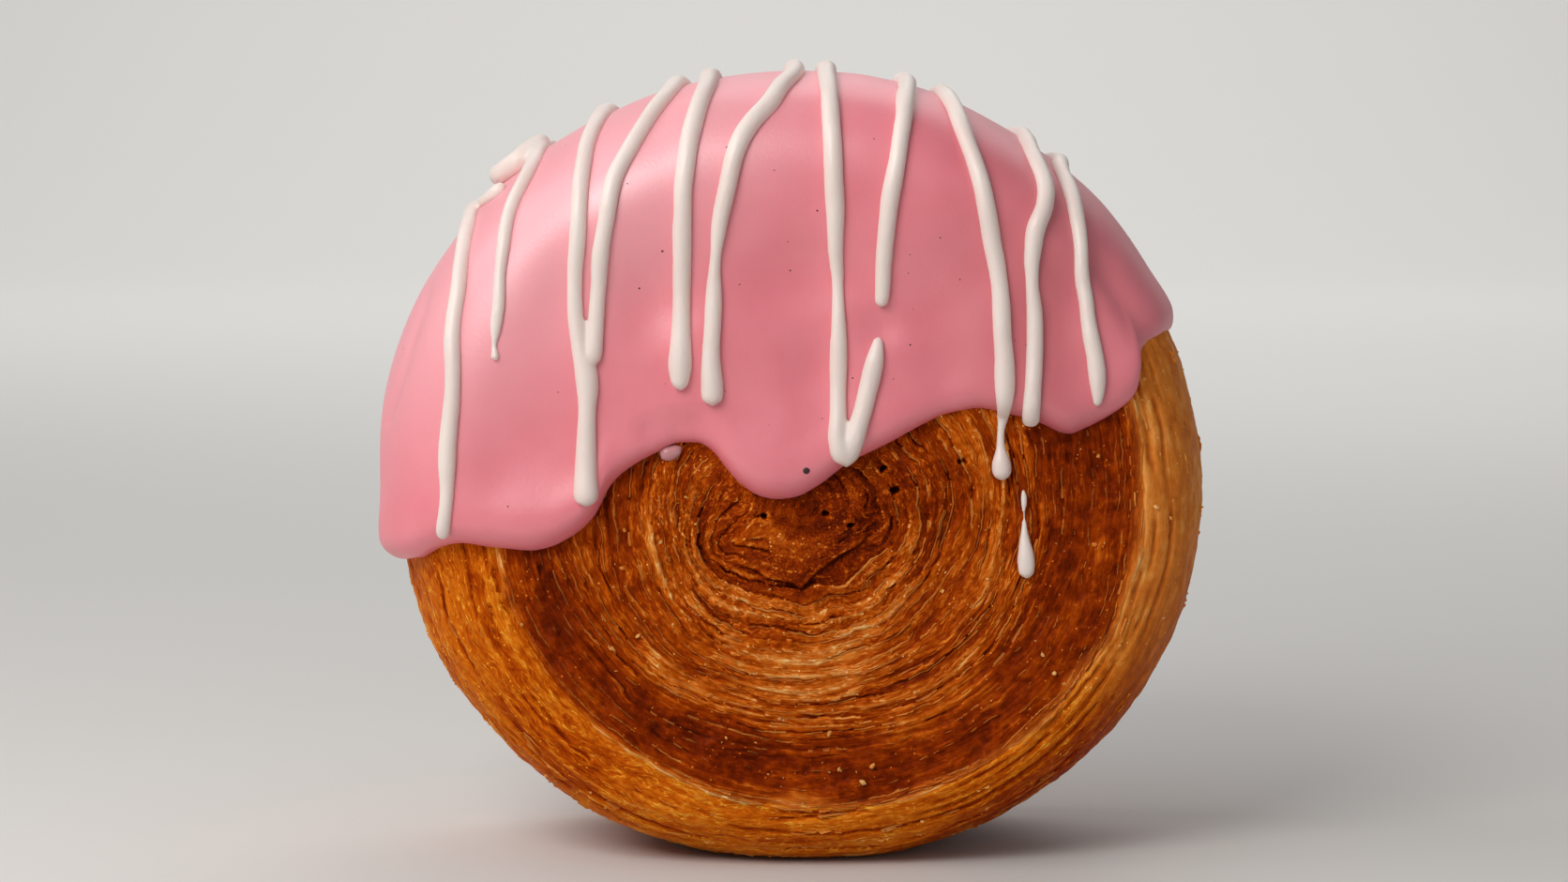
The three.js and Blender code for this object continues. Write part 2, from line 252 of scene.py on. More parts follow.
bearings = np.linspace(0, 2 * np.pi, 4001)
waist = cast_out(np.column_stack([np.sin(bearings), -np.cos(bearings), 0 * bearings]))
waist_run = np.concatenate([[0], np.cumsum(np.linalg.norm(np.diff(waist, axis=0), axis=1))])
WAIST_LENGTH = waist_run[-1]

edge_at = np.concatenate([EDGE[-1:, 0] - WAIST_LENGTH, EDGE[:, 0], EDGE[:2, 0] + WAIST_LENGTH])
edge_high = np.concatenate([EDGE[-1:, 1], EDGE[:, 1], EDGE[:2, 1]])
edge_slope = np.diff(edge_high) / np.diff(edge_at)
before, after = edge_slope[:-1], edge_slope[1:]
rising = before * after > 0
edge_eased = np.where(rising, 2 * before * after / np.where(rising, before + after, 1), 0)


def round_the_waist(points):
    """Distance round the waist to the bearing of each point."""
    bearing = np.arctan2(points[:, 0], -points[:, 1]) % (2 * np.pi)
    return np.interp(bearing, bearings, waist_run)


def edge_height(run):
    here = EDGE[0, 0] + (run - EDGE[0, 0]) % WAIST_LENGTH
    k = np.clip(np.searchsorted(edge_at, here, side="right") - 1, 1, len(edge_at) - 3)
    wide = edge_at[k + 1] - edge_at[k]
    t = (here - edge_at[k]) / wide
    curve = (2 * t**3 - 3 * t**2 + 1) * edge_high[k] + (3 * t**2 - 2 * t**3) * edge_high[k + 1]
    leaving, arriving = edge_eased[k - 1], edge_eased[k]
    return curve + wide * ((t**3 - 2 * t**2 + t) * leaving + (t**3 - t**2) * arriving)


print(f"waist {1000 * WAIST_LENGTH:.0f} mm round")

# %% [markdown]
# ## The baked coil
# Each face of the roll is the cut edge of a long strip of thin layers, wound round and round. Baked
# against a tray it is nearly flat, but the layers part, lift and break, so it is covered in small
# ragged ledges. A texture alone would look painted on, so the ledges are real: the coil is cut into
# layers of uneven width, and each layer's height rises and falls along its length. Noise bends
# the layers a little, and more in the heart of the coil, where the dough was folded.

# %% Layers of the coil
COIL_PITCH = 4.2  # millimetres from one turn to the next
COIL_END = 41  # millimetres from the middle to the end of the coil
COIL_ALONG = 24  # millimetres along the coil for each radian
HEART = {-1: (-0.8, -2.8), 1: (0.6, -1.6)}  # where the coil starts, on the front and the back
SEED = {-1: 10, 1: 50}


def cut_layers(seed, thinnest, thickest, first, last):
    """Places of the edges between layers of uneven width, in millimetres."""
    draw = np.random.default_rng(seed)
    edges = first + np.cumsum(draw.uniform(thinnest, thickest, int((last - first) / thinnest)))
    return edges[edges < last]


def ledges(place, edges, soft, level):
    """Layers at places across them: the height, eased over each edge; the numbers of the layer and
    of its nearest edge; the distance to that edge; and the rise above the layer beyond it."""
    layer = np.clip(np.searchsorted(edges, place) - 1, 1, len(edges) - 3)
    from_low, from_high = place - edges[layer], edges[layer + 1] - place
    beside = layer + np.where(from_low < from_high, -1, 1)
    near = np.clip(np.minimum(from_low, from_high), 0, None)
    own = 0.5 + 0.5 * smoothstep(0, soft, near)
    share = np.clip(from_low / (edges[layer + 1] - edges[layer]), 0, 1)
    mine, other = level(layer, share), level(beside, share)
    return SimpleNamespace(height=mine * own + other * (1 - own), layer=layer,
                           edge=np.maximum(layer, beside), near=near, above=mine - other)


def random_of(layer, seed):
    """A number from -1 to 1 that belongs to a layer."""
    cells = np.column_stack([layer, layer * 0 + 7, layer * 0 + 3]).astype(np.int64)
    return lattice_value(cells, seed)


# %% Bends of the coil
FOLD_POINT = (-0.3, -11.4)  # where the fold in the front's heart is lowest: across, above the axis
FOLD_LEFT, FOLD_RIGHT = -0.33, 0.75  # the slopes of the fold's two sides
FOLD_BELOW = 8.5  # how far below the heart the fold lies


def fold_bend(turned, far):
    """Bends the inner turns of the front into a V, along the fold."""
    angle = turned + np.pi / 2
    to_right = 9.4 / np.clip(FOLD_RIGHT * np.cos(angle) - np.sin(angle), 0.5, None)
    to_left = FOLD_BELOW / np.clip(FOLD_LEFT * np.cos(angle) - np.sin(angle), 0.5, None)
    bend = (FOLD_BELOW - np.clip(np.minimum(to_right, to_left), 6.5, 11)) * far / FOLD_BELOW
    bend *= smoothstep(2, 6, far) * (1 - smoothstep(9, 16, far))
    return bend * smoothstep(-0.2, 0.5, -np.sin(angle))


def coil_bend(along, far, x, z, side):
    """How far the layers are bent off a true coil, in millimetres."""
    seed = SEED[side]
    bend = 1.1 * noise(seed, along / 19, far / 10) + 0.4 * noise(seed + 1, along / 6, far / 3)
    bend += 0.18 * noise(seed + 2, along / 1.9, far / 1.2)
    bend += 0.1 * noise(seed + 3, along / 0.8, far / 0.6)
    folded = 1.4 * noise(seed + 4, x / 6, z / 6) + 0.4 * noise(seed + 5, x / 2.2, z / 2.2)
    bend = bend * smoothstep(3, 10, far) + folded * (1 - smoothstep(6, 15, far))
    return bend + fold_bend(along / COIL_ALONG, far) if side < 0 else bend


def coil_place(x, z, side):
    """Where places of a face are on its coil. `far` is their distance from the heart, `across` the
    same along the bent layers, and `place` that less the turns: layers are cut across it."""
    ease = 1 - smoothstep(0, COIL_END, np.hypot(x, z))
    heart_x, heart_z = x - HEART[side][0] * ease, z - HEART[side][1] * ease
    far = np.hypot(heart_x, heart_z)
    turned = (np.arctan2(heart_z, heart_x) - np.pi / 2) % (2 * np.pi)
    along = turned * COIL_ALONG
    across = far + coil_bend(along, far, x, z, side)
    return SimpleNamespace(
        x=x, z=z, side=side, far=far, along=along, across=across,
        place=across - COIL_PITCH * turned / (2 * np.pi), angle=np.arctan2(z, x),
        down=-np.cos(turned), left=np.sin(turned))


# %% [markdown]
# ## Zones of a face
# From its middle outwards a face has a folded heart, a golden band, a ring that browned on the hot
# tray, and a smooth edge beside the lip of the rim. The lip is ragged, and nearer the middle at the
# left. Each zone is a number from 0 to 1 at every place, so one zone passes softly into the next.

# %% Where a face meets the rim
LIP_AT, LIP_SWING, LIP_FARTHEST = 39.1, 1.8, math.radians(5)


def lip_run(angle, side):
    """Where the lip of the rim stands round a face: its distance from the middle in millimetres."""
    angle = (angle - np.pi / 2) % (2 * np.pi) + np.pi / 2
    ragged = 0.35 * noise(70 + side, angle * 6) + 0.14 * noise(72 + side, angle * 24)
    swing = LIP_SWING * np.cos(angle - LIP_FARTHEST)
    return LIP_AT + swing + 0.45 * noise(74 + side, angle * 2) + ragged


# %% Zones from the heart to the lip
RING_FROM = 28.2  # where the browned ring starts, in millimetres from the heart


def bell(away, wide):
    """1 on a line, and less with the distance away from it."""
    return np.exp(-((away / wide) ** 2))


def towards(angle, degrees, low, high):
    """1 in a direction and 0 away from it: the cosine between them is eased from low to high."""
    return smoothstep(low, high, np.cos(angle - math.radians(degrees)))


def bumps(seed, at, size):
    """Noise with bumps of a size in millimetres, at places of a face."""
    return noise(seed, at.x / size, at.z / size)


def face_zones(at, seed):
    wander = 2.2 * noise(seed + 5, at.along / 9, at.far / 5) + 1.6 * bumps(seed + 6, at, 3.2)
    outer = lip_run(at.angle, at.side) - 0.9 + 0.9 * noise(seed + 28, at.along / 5)
    inner = RING_FROM + 2.2 * towards(at.angle, 282, 0.8, 1)
    smooth = smoothstep(-1.1, 1.1, at.far - outer)
    browned = smoothstep(-4, 4, at.far + wander - inner) * (1 - smooth)
    browned *= np.clip(0.9 + 0.05 * at.left + 0.06 * at.down, 0.8, 1)
    browned *= 1 - 0.4 * smoothstep(0.3, 0.8, bumps(seed + 29, at, 3.6))
    left_band = bell(at.far - 23 + 0.6 * wander, 2.4) * smoothstep(0.1, 0.7, at.left)
    right_band = bell(at.far - 21.5 + 0.6 * wander, 3) * towards(at.angle, 340, 0.5, 0.95)
    browned = np.maximum(browned, np.maximum(0.6 * left_band, 0.4 * right_band))
    return SimpleNamespace(
        heart=1 - smoothstep(8, 15, at.far), wound=smoothstep(2, 7, at.far), browned=browned,
        smooth=smooth, flap=smooth * smoothstep(-0.3, 0.5, -at.left))


def golden_band(at):
    """Golden round the heart, most of all below it and at its lower left."""
    golden = smoothstep(12, 16, at.far) * (1 - 0.75 * smoothstep(20.5, 27, at.far))
    golden *= 0.6 + 0.4 * at.down - 0.2 * np.clip(at.left, 0, 1)
    brightest = 15.6 + 3 * towards(at.angle, 275, 0.5, 1)
    return golden + bell(at.far - brightest, 2.6) * towards(at.angle, 248, 0.2, 0.9)


# %% [markdown]
# ## Relief and shade of a face
# The height of a face is that of its layers, with gaps where they parted, blisters in the browned
# ring, and broad unevenness. In the front's heart there is a deep fold like a V, and a few small
# holes. The shade runs from 0 in a dark gap to 1 on a pale, crisp crest: besides the dough's own
# tone it holds painted shade in gaps, in the fold and in holes, and painted highlight on raised
# edges. The material makes it a colour.

# %% Heights of a face
THICK_LAYERS = (0.5, 1.7, -14, 60)  # thinnest, thickest, first and last, in millimetres
THIN_LAYERS = (0.28, 0.6, -14, 60)


def face_layers(at, zones, seed):
    """The coil's thick layers, and the thin ones they split into."""
    def level(layer, share):
        rise = 0.3 * noise(seed + 7, at.along / 12, layer * 3.7)
        rise += 0.2 * noise(seed + 8, at.along / 3.5, layer * 5.3)
        rise = (rise + 0.14 * noise(seed + 9, at.along / 1.1, layer * 2.9)) * zones.wound
        return rise + 0.24 * (share - 0.5) * (random_of(layer, seed) - 0.5)

    def thin_level(layer, share):
        rise = 0.1 * noise(seed + 10, at.along / 4, layer * 4.1)
        return (rise + 0.07 * noise(seed + 11, at.along / 0.9, layer * 6.1)) * zones.wound

    split = at.place + 0.2 * noise(seed + 12, at.along / 7, at.far)
    return (ledges(at.place, cut_layers(seed, *THICK_LAYERS), 0.22, level),
            ledges(split, cut_layers(seed + 1, *THIN_LAYERS), 0.16, thin_level))


def face_height(at, zones, thick, thin, seed):
    """Heights in millimetres, how far the layers parted, and blisters."""
    bold = (0.75 + 0.4 * smoothstep(9, 16, at.far)) * (1 - 0.65 * zones.browned)
    height = bold * (1 - 0.4 * zones.flap) * (thick.height + thin.height)
    parted = smoothstep(0.15, 0.6, noise(seed + 13, at.along / 9, thick.edge * 7.3)) * zones.wound
    gap = parted * bell(thick.near, 0.14) * (1 - 0.6 * zones.browned)
    height -= 0.38 * gap
    height += 0.35 * bumps(seed + 14, at, 12) + 0.16 * bumps(seed + 15, at, 4.6)
    blister = bumps(seed + 16, at, 3) + 0.7 * bumps(seed + 17, at, 1.3)
    height += zones.browned * (0.27 * blister + 0.14 * bumps(seed + 24, at, 0.7))
    crumpled = noise(seed + 26, at.x / 2.2, at.z / 1.2)
    crumpled += 0.5 * noise(seed + 27, at.x / 0.9, at.z / 0.6)
    return height + 0.16 * (1 - zones.wound) * crumpled, gap, blister


# %% The fold and the holes in the front's heart
HOLES = [[11.0, 0.2, 0.42], [9.7, 2.8, 0.36], [19.3, 3.6, 0.34], [-4.8, -2.9, 0.4],
         [2.8, -2.6, 0.3], [5.7, -3.9, 0.32]]  # across, above the axis, radius


def open_heart(at, height, gap, seed):
    """Heights and gaps with the fold and the holes, and the fold's torn edge."""
    aside = at.x - FOLD_POINT[0]
    fold = FOLD_POINT[1] + np.where(aside < 0, FOLD_LEFT, FOLD_RIGHT) * aside
    above = at.z - fold - 0.4 * bumps(seed + 18, at, 2)
    reach = 1 - smoothstep(6.5, 9, np.abs(aside))
    inside = smoothstep(-0.2, 0.35, above) * (1 - smoothstep(4, 9, above))
    height = height + 0.7 * inside * reach
    gap = np.maximum(gap, reach * bell(above + 0.15, 0.2))
    torn = reach * bell(above - 0.3, 0.2) * smoothstep(-0.3, 0.4, bumps(seed + 33, at, 1.5))
    ragged = 1 + 0.5 * bumps(seed + 30, at, 0.5)
    for across, high, size in HOLES:
        away = np.hypot(0.8 * (at.x - across), at.z - high)
        deep = np.exp(-((away / (size * ragged)) ** 4))
        height -= 1.2 * deep
        gap = np.maximum(gap, 2 * deep)
    return height, gap, torn


# %% Shades of a face
def face_shade(at, zones, thick, thin, seed):
    shade = 0.41 + 0.12 * golden_band(at) - 0.235 * zones.browned
    shade += 0.1 * zones.smooth - 0.12 * zones.heart
    shade += 0.09 * noise(seed + 19, at.along / 22, at.far / 4.5) + 0.08 * bumps(seed + 20, at, 6)
    broad = 0.13 * noise(seed + 32, at.along / 15, at.across / 1.7)
    shade += broad * (1 - 0.8 * zones.browned) * (1 - zones.smooth)
    own = random_of(thick.layer, seed + 2) + random_of(thin.layer, seed + 3)
    shade += 0.05 * own * (1 - 0.7 * zones.browned)
    # Pale along the raised edge of a thick or thin layer: a painted highlight where the edge catches
    # the light.
    broken = smoothstep(-0.25, 0.5, noise(seed + 23, at.along / 2.2, thick.layer * 3.3))
    crest = smoothstep(0.04, 0.2, thick.above) * bell(thick.near - 0.06, 0.12)
    shade += 0.46 * broken * crest * (1 - 0.6 * zones.browned)
    shade += 0.15 * smoothstep(0.02, 0.1, thin.above) * bell(thin.near, 0.12)
    grained = noise(seed + 31, at.along / 1.5, at.far / 0.5)
    return shade + 0.14 * (zones.smooth - zones.flap) * grained


def face_relief(x, z, side):
    """What a face is like at places in millimetres."""
    seed = SEED[side] + 100
    at = coil_place(x, z, side)
    zones = face_zones(at, seed)
    thick, thin = face_layers(at, zones, seed)
    height, gap, blister = face_height(at, zones, thick, thin, seed)
    shade = face_shade(at, zones, thick, thin, seed) + 0.06 * zones.browned * blister
    if side < 0:
        height, gap, torn = open_heart(at, height, gap, seed)
        # Darker below the glaze's right lobe: a painted shadow of the lobe, over dough that is also
        # darker brown round the holes.
        lobe_shadow_and_dark_dough = bell(x - 9, 6) * bell(z + 2, 5)
        shade += 0.3 * torn - 0.09 * lobe_shadow_and_dark_dough
    fibre = np.column_stack([at.along, at.across, thick.layer * 1.7])
    # Darker in gaps between layers, in the fold's crease and in the holes: painted shade.
    return SimpleNamespace(height=height, shade=shade - 0.16 * gap, fibre=fibre,
                           browned=zones.browned, layered=1 - 0.6 * zones.flap)


# %% [markdown]
# ## A polar net for each face
# The net of a face starts at its middle. Rows are close together all the way out, because the
# ledges run round; columns are close together only where dough shows below the glaze. The net
# allows one more thing: comparing a place's height with the mean height round it tells ridges
# from hollows, so ridges are given a painted highlight and hollows a painted shade.

# %% Rows and columns of the nets
FACE_COLUMNS, FACE_ROWS, FACE_EDGE = 430, 218, 42.6
BARE_FROM, BARE_TO = math.radians(178), math.radians(392)
CLOSE_TOGETHER = 6.5


def column_angles(columns):
    """Angles round the axis from the top, close together where dough shows."""
    dial = np.linspace(math.radians(90), math.radians(450), 3601)
    closeness = 1 + (CLOSE_TOGETHER - 1) * smoothstep(BARE_FROM - 0.2, BARE_FROM, dial) * (
        1 - smoothstep(BARE_TO, BARE_TO + 0.2, dial))
    share = np.concatenate([[0], np.cumsum((closeness[1:] + closeness[:-1]) / 2)])
    return np.interp(np.arange(columns) / columns, share / share[-1], dial)


def ridges(height, rows):
    """How far each place of a net stands above the mean of the rows near it."""
    padded = np.pad(height, ((rows, rows), (0, 0)), mode="edge")
    total = np.cumsum(np.vstack([np.zeros_like(padded[:1]), padded]), axis=0)
    return height - (total[2 * rows + 1:] - total[:-2 * rows - 1]) / (2 * rows + 1)


def glaze_cover(points):
    """1 where dough lies well under the glaze, 0 where it shows."""
    return smoothstep(2 * MM, 6 * MM, points[:, 2] - edge_height(round_the_waist(points)))


# %% Shape a face
FACE_LOW, FACE_HIGH = -1.5, 0.95  # limits of its relief
PRESSED = 0.8  # how much flatter the crust is under the glaze
BROWN_SHADE = 0.2  # the ring is baked to about one shade
CRISP = math.radians(80)  # sharper edges than this stay sharp
UNDERSIDE = (36, 14)  # the closed underside of a face, inside the roll: its radius and depth


def hidden_ring(angle, wide, deep):
    """A ring inside the roll, of a radius and at a place along its axis in millimetres."""
    x, z = wide * np.cos(angle), wide * np.sin(angle)
    return MM * np.column_stack([x, np.full(len(angle), deep), z])


def make_face(name, side):
    face, row, column = new_ball(name, FACE_COLUMNS, FACE_ROWS + 2)
    ring = column_angles(FACE_COLUMNS)
    net = np.meshgrid(np.linspace(0, FACE_EDGE, FACE_ROWS), ring, indexing="ij")
    run, angle = net[0].ravel(), net[1].ravel()
    x, z = run * np.cos(angle), run * np.sin(angle)
    relief = face_relief(x, z, side)
    bare = on_face(x * MM, z * MM, side)
    height = np.clip(relief.height, FACE_LOW, FACE_HIGH) * (1 - PRESSED * glaze_cover(bare))
    lip = lip_run(angle, side)
    under = smoothstep(lip + 0.2, lip + 1.2, run)
    height = height * (1 - under) + FACE_LOW * under
    rows = height.reshape(FACE_ROWS, FACE_COLUMNS)
    # Painted highlight on ridges and painted shade in hollows, taken from the relief itself.
    shade = relief.shade + (0.45 * ridges(rows, 1) + 0.4 * ridges(rows, 4)).ravel()
    shade += 0.35 * relief.browned * (BROWN_SHADE - shade)

    inside = hidden_ring(ring, UNDERSIDE[0], side * UNDERSIDE[1])
    skin = np.vstack([bare + outward(bare) * height[:, None] * MM, inside, inside * [0.5, 1, 0.5],
                      inside * [0, 1, 0]])
    move_vertices(face, settle(skin[row * FACE_COLUMNS + column]))
    bpy.ops.object.shade_smooth_by_angle(angle=CRISP)
    at = np.minimum(row, FACE_ROWS - 1) * FACE_COLUMNS + column
    keep_on_vertices(face, shade=shade[at], fibre=relief.fibre[at], browned=relief.browned[at],
                     layered=relief.layered[at])
    print(name, count_triangles(face), "triangles, middle shade", np.median(shade).round(2))
    return face


crust_front = make_face("crust_front", -1)
crust_back = make_face("crust_back", 1)

# %% [markdown]
# ## The rim
# Round its edge the roll shows the outside of its last sheets of dough: golden, buttery, streaked
# along their length. They end in a lip round each face. The left of the rim is cracked into thin
# layers; the right is one smooth, pale flap. The rim is a closed ring, so a circle is spun round
# the axis, and its vertices are moved to a net that runs from the front lip over the rim to the
# back lip.

# %% Profile of the rim
slide = np.linspace(0, np.pi / 2, 2000)
profile_out = FACE_RADIUS + SHOULDER * np.sin(slide) ** (2 / SHOULDER_POWER)
profile_deep = HALF_THICKNESS * np.cos(slide) ** (2 / SHOULDER_POWER)
profile_steps = np.hypot(np.diff(profile_out), np.diff(profile_deep))
profile_run = FACE_RADIUS + np.concatenate([[0], np.cumsum(profile_steps)])
RUN_TO_MIDDLE = profile_run[-1] / MM


def rim_points(angle, middle_line):
    """Points of the bare rim at angles and at distances from its middle line in millimetres."""
    run = (RUN_TO_MIDDLE - np.abs(middle_line)) * MM
    out = np.minimum(run, np.interp(run, profile_run, profile_out))
    deep = np.sign(middle_line) * np.interp(run, profile_run, profile_deep)
    return np.column_stack([out * np.cos(angle), deep, out * np.sin(angle)])


print(f"rim {2 * (RUN_TO_MIDDLE - LIP_AT):.0f} mm over, from lip to lip")

# %% Relief and shade of the rim
RIM_ALONG = 48  # millimetres along the rim for each radian
RIM_LAYERS = (0.4, 1.5, -40, 40)  # thinnest, thickest, first and last, in millimetres
RIM_CRACKED = 0.75 + math.pi  # the direction in which the rim is cracked into layers


def rim_relief(angle, middle_line):
    """What the rim is like at angles and at distances from its middle line in millimetres."""
    along = ((angle - np.pi / 2) % (2 * np.pi)) * RIM_ALONG
    x, y, z = rim_points(angle, middle_line).T / MM
    cracked = np.cos(angle - RIM_CRACKED) + 0.4 * noise(94, along / 25)
    layered = 0.35 + 0.65 * smoothstep(-0.35, 0.4, cracked)
    across = middle_line + 1.3 * noise(90, along / 22, middle_line / 7)
    across += 0.4 * noise(91, along / 6, middle_line / 2.5)
    across += 0.16 * noise(92, along / 1.6, middle_line / 1.2)
    across += 0.08 * noise(89, along / 0.7, middle_line / 0.8)

    def level(layer, share):
        rise = 0.2 * noise(101, along / 15, layer * 3.7) + 0.13 * noise(102, along / 4, layer * 5.3)
        return rise + 0.08 * noise(103, along / 1.2, layer * 2.9)

    sheets = ledges(across, cut_layers(93, *RIM_LAYERS), 0.28, level)
    parted = smoothstep(0.4, 0.75, noise(95, along / 10, sheets.edge * 5.1))
    gap = layered * parted * bell(sheets.near, 0.15)
    pores = (1 - layered) * smoothstep(0.55, 0.85, noise(105, x / 1.1, y / 0.8, z / 1.1))
    height = 0.8 * layered * sheets.height - 0.26 * gap - 0.16 * pores
    height += 0.3 * noise(96, x / 11, y / 8, z / 11) + 0.12 * noise(97, x / 4, y / 3, z / 4)
    height += (0.05 + 0.06 * layered) * noise(98, x / 1.2, y, z / 1.2)

    shade = 0.54 + 0.06 * noise(99, x / 8, y / 5, z / 8)
    shade += 0.09 * noise(100, along / 9, middle_line / 0.5)
    shade += 0.055 * noise(106, x / 2.2, y / 1.8, z / 2.2)
    # Pale along the raised edge of a sheet: a painted highlight where the edge catches the light.
    broken = smoothstep(-0.2, 0.5, noise(107, along / 2.2, sheets.layer * 3.3))
    crest = broken * smoothstep(0.03, 0.16, sheets.above) * bell(sheets.near - 0.06, 0.14)
    shade += layered * (0.06 * random_of(sheets.layer, 104) + 0.2 * crest)
    # Darker in gaps between sheets and in pores: painted shade.
    shade -= 0.12 * gap + 0.1 * pores
    shade += 0.12 * towards(angle, 0, 0.35, 0.9) - 0.03 * towards(angle, 197.2, 0.3, 0.9)
    # The last term makes the bottom of the rim lighter: painted light bounced up from the floor.
    shade += 0.04 * towards(angle, 225.2, 0.7, 1) + 0.09 * towards(angle, 270, 0.8, 1)
    # Darker at the lower right, across the middle of the rim: painted shade.
    from_middle = smoothstep(18.5, 23.5, np.abs(middle_line))
    shade -= 0.26 * towards(angle, 317, 0.75, 1) * (1 - from_middle)
    buttery = (layered - 0.2) / 0.8 + 0.9 * towards(angle, 270, 0.3, 0.8)
    return SimpleNamespace(height=height, shade=shade, layered=np.clip(buttery, 0, 1),
                           fibre=np.column_stack([along, across, sheets.layer * 1.7]))


# %% Ends of the outermost sheets
SHEETS = (0.95, 1.8, 2.9, 4.3, 8.5, 14, 21)  # how far from the lip they end, in millimetres


def sheet_ends(from_lip, angle, side):
    """Heights and shades of the creases where sheets end."""
    height = np.zeros(len(angle))
    shade = np.zeros(len(angle))
    for number, distance in enumerate(SHEETS):
        away = from_lip - distance - 0.4 * noise(77 + 10 * number, angle * 5)
        shown = smoothstep(-0.25, 0.25, noise(76 + 10 * number, angle * 7, side * 2.7))
        crease = shown * bell(away, 0.24 + 0.02 * distance)
        height -= 0.34 * crease
        # Darker in each crease itself: painted shade.
        shade += 0.13 * shown * bell(away - 0.42, 0.3) - 0.16 * crease
    return height, shade


# %% Spin a ring
def new_ring(name, columns, rows):
    """A ring round the Y axis, with the row and column of each of its vertices."""
    bpy.ops.object.select_all(action="DESELECT")
    bpy.ops.mesh.primitive_circle_add(vertices=rows, radius=1)
    ring = name_piece(name)
    bpy.ops.object.mode_set(mode="EDIT")
    bpy.ops.mesh.select_all(action="SELECT")
    bpy.ops.transform.translate(value=(2, 0, 0))
    bpy.ops.mesh.spin(steps=columns, angle=2 * math.pi, center=(0, 0, 0), axis=(0, 1, 0))
    bpy.ops.mesh.select_all(action="SELECT")
    bpy.ops.mesh.remove_doubles(threshold=1e-4)
    bpy.ops.object.mode_set(mode="OBJECT")
    x, y, z = vertex_places(ring).T
    column = whole_steps(np.arctan2(z, x) / (2 * np.pi), columns) % columns
    row = whole_steps(np.arctan2(y, np.hypot(x, z) - 2) / (2 * np.pi), rows)
    print("spun ring", len(x), "vertices of", rows * columns)
    return ring, row % rows, column


# %% Shape the rim
RIM_COLUMNS, RIM_ROWS = 560, 150
RIM_INSIDE = ((38.5, 19.5), (37, 12), (37, -12), (38.5, -19.5))  # hidden side: radius, place along Y
RIM_LOW, RIM_HIGH = -0.9, 0.85  # limits of its relief
LIP_ROUND, LIP_LIFT, LIP_TUCKED = 0.45, 0.12, 0.8


def make_rim():
    rim, row, column = new_ring("crust_rim", RIM_COLUMNS, RIM_ROWS + len(RIM_INSIDE))
    ring = column_angles(RIM_COLUMNS)
    share = np.linspace(-1, 1, RIM_ROWS)[:, None]
    lip = np.where(share < 0, lip_run(ring, -1), lip_run(ring, 1))
    from_lip = ((RUN_TO_MIDDLE - lip) * (1 - np.abs(share) ** 0.9)).ravel()
    angle = np.tile(ring, RIM_ROWS)
    side = np.repeat(np.sign(share), RIM_COLUMNS)
    middle_line = side * (RUN_TO_MIDDLE - lip.ravel() - from_lip)
    bare = rim_points(angle, middle_line)

    relief = rim_relief(angle, middle_line)
    flap = 0.55 + 0.45 * noise(75, angle * 2.5, side * 3.3)
    height = relief.height + LIP_LIFT * flap * (1 - smoothstep(2, 9, from_lip))
    height = np.clip(height, RIM_LOW, RIM_HIGH) * (1 - PRESSED * glaze_cover(bare))
    rounded = np.sqrt(1 - (1 - np.clip(from_lip / LIP_ROUND, 0, 1)) ** 2)
    crease, crease_shade = sheet_ends(from_lip, angle, side)
    height += crease - LIP_TUCKED * (1 - rounded)
    # Paler along the lip at the left and below: a painted highlight on the lip's rounded edge.
    pale = (1 - smoothstep(0.6, 3.2, from_lip)) * towards(angle, 180, -0.2, 0.4)
    shade = relief.shade + crease_shade
    shade += 0.04 * pale * (0.7 + 0.5 * noise(78, angle * 14, from_lip / 1.5))
    rows = height.reshape(RIM_ROWS, RIM_COLUMNS)
    # Painted highlight on ridges and painted shade in hollows, taken from the rim's relief.
    shade += (0.32 * ridges(rows, 1) + 0.28 * ridges(rows, 4)).ravel()
    shade -= 0.45 * np.clip(shade - 0.6, 0, None)

    inside = [hidden_ring(ring, wide, deep) for wide, deep in RIM_INSIDE]
    skin = np.vstack([bare + outward(bare) * height[:, None] * MM, *inside])
    move_vertices(rim, settle(skin[row * RIM_COLUMNS + column]))
    bpy.ops.object.shade_smooth_by_angle(angle=CRISP)
    at = np.minimum(row, RIM_ROWS - 1) * RIM_COLUMNS + column
    keep_on_vertices(rim, shade=shade[at], fibre=relief.fibre[at], layered=relief.layered[at],
                     buttery=relief.layered[at])
    print("crust_rim", count_triangles(rim), "triangles, middle shade", np.median(shade).round(2))
    return rim


crust_rim = make_rim()

# %% [markdown]
# ## Torn edges and crumbs
# Where a layer tears, its paper-thin edge stands up from the face and bakes pale and crisp. These
# edges are finer than the net, so they are pieces of their own: strips with three sides that
# follow the coil, each with a ragged top. One strip is extruded from a triangle, an array makes
# the copies, and their vertices are moved to their places. Crumbs are made the same way from a
# small ball.


# %% Copies of one small shape
def make_copies(name, count):
    """Turns the active object into many copies in one mesh; also the vertices of one copy."""
    shape = name_piece(name)
    places = vertex_places(shape)
    array = shape.modifiers.new("copies", "ARRAY")
    array.count = count
    array.use_relative_offset = False
    bpy.ops.object.modifier_apply(modifier="copies")
    return shape, places


# %% Strips that stand on the form
STATIONS = 9  # places along a strip
ROOT = 0.45  # how deep strips stand in the crust, in millimetres
CORNERS = np.array([[0, 1], [-0.87, -0.5], [0.87, -0.5]])  # top, and both sides of the foot


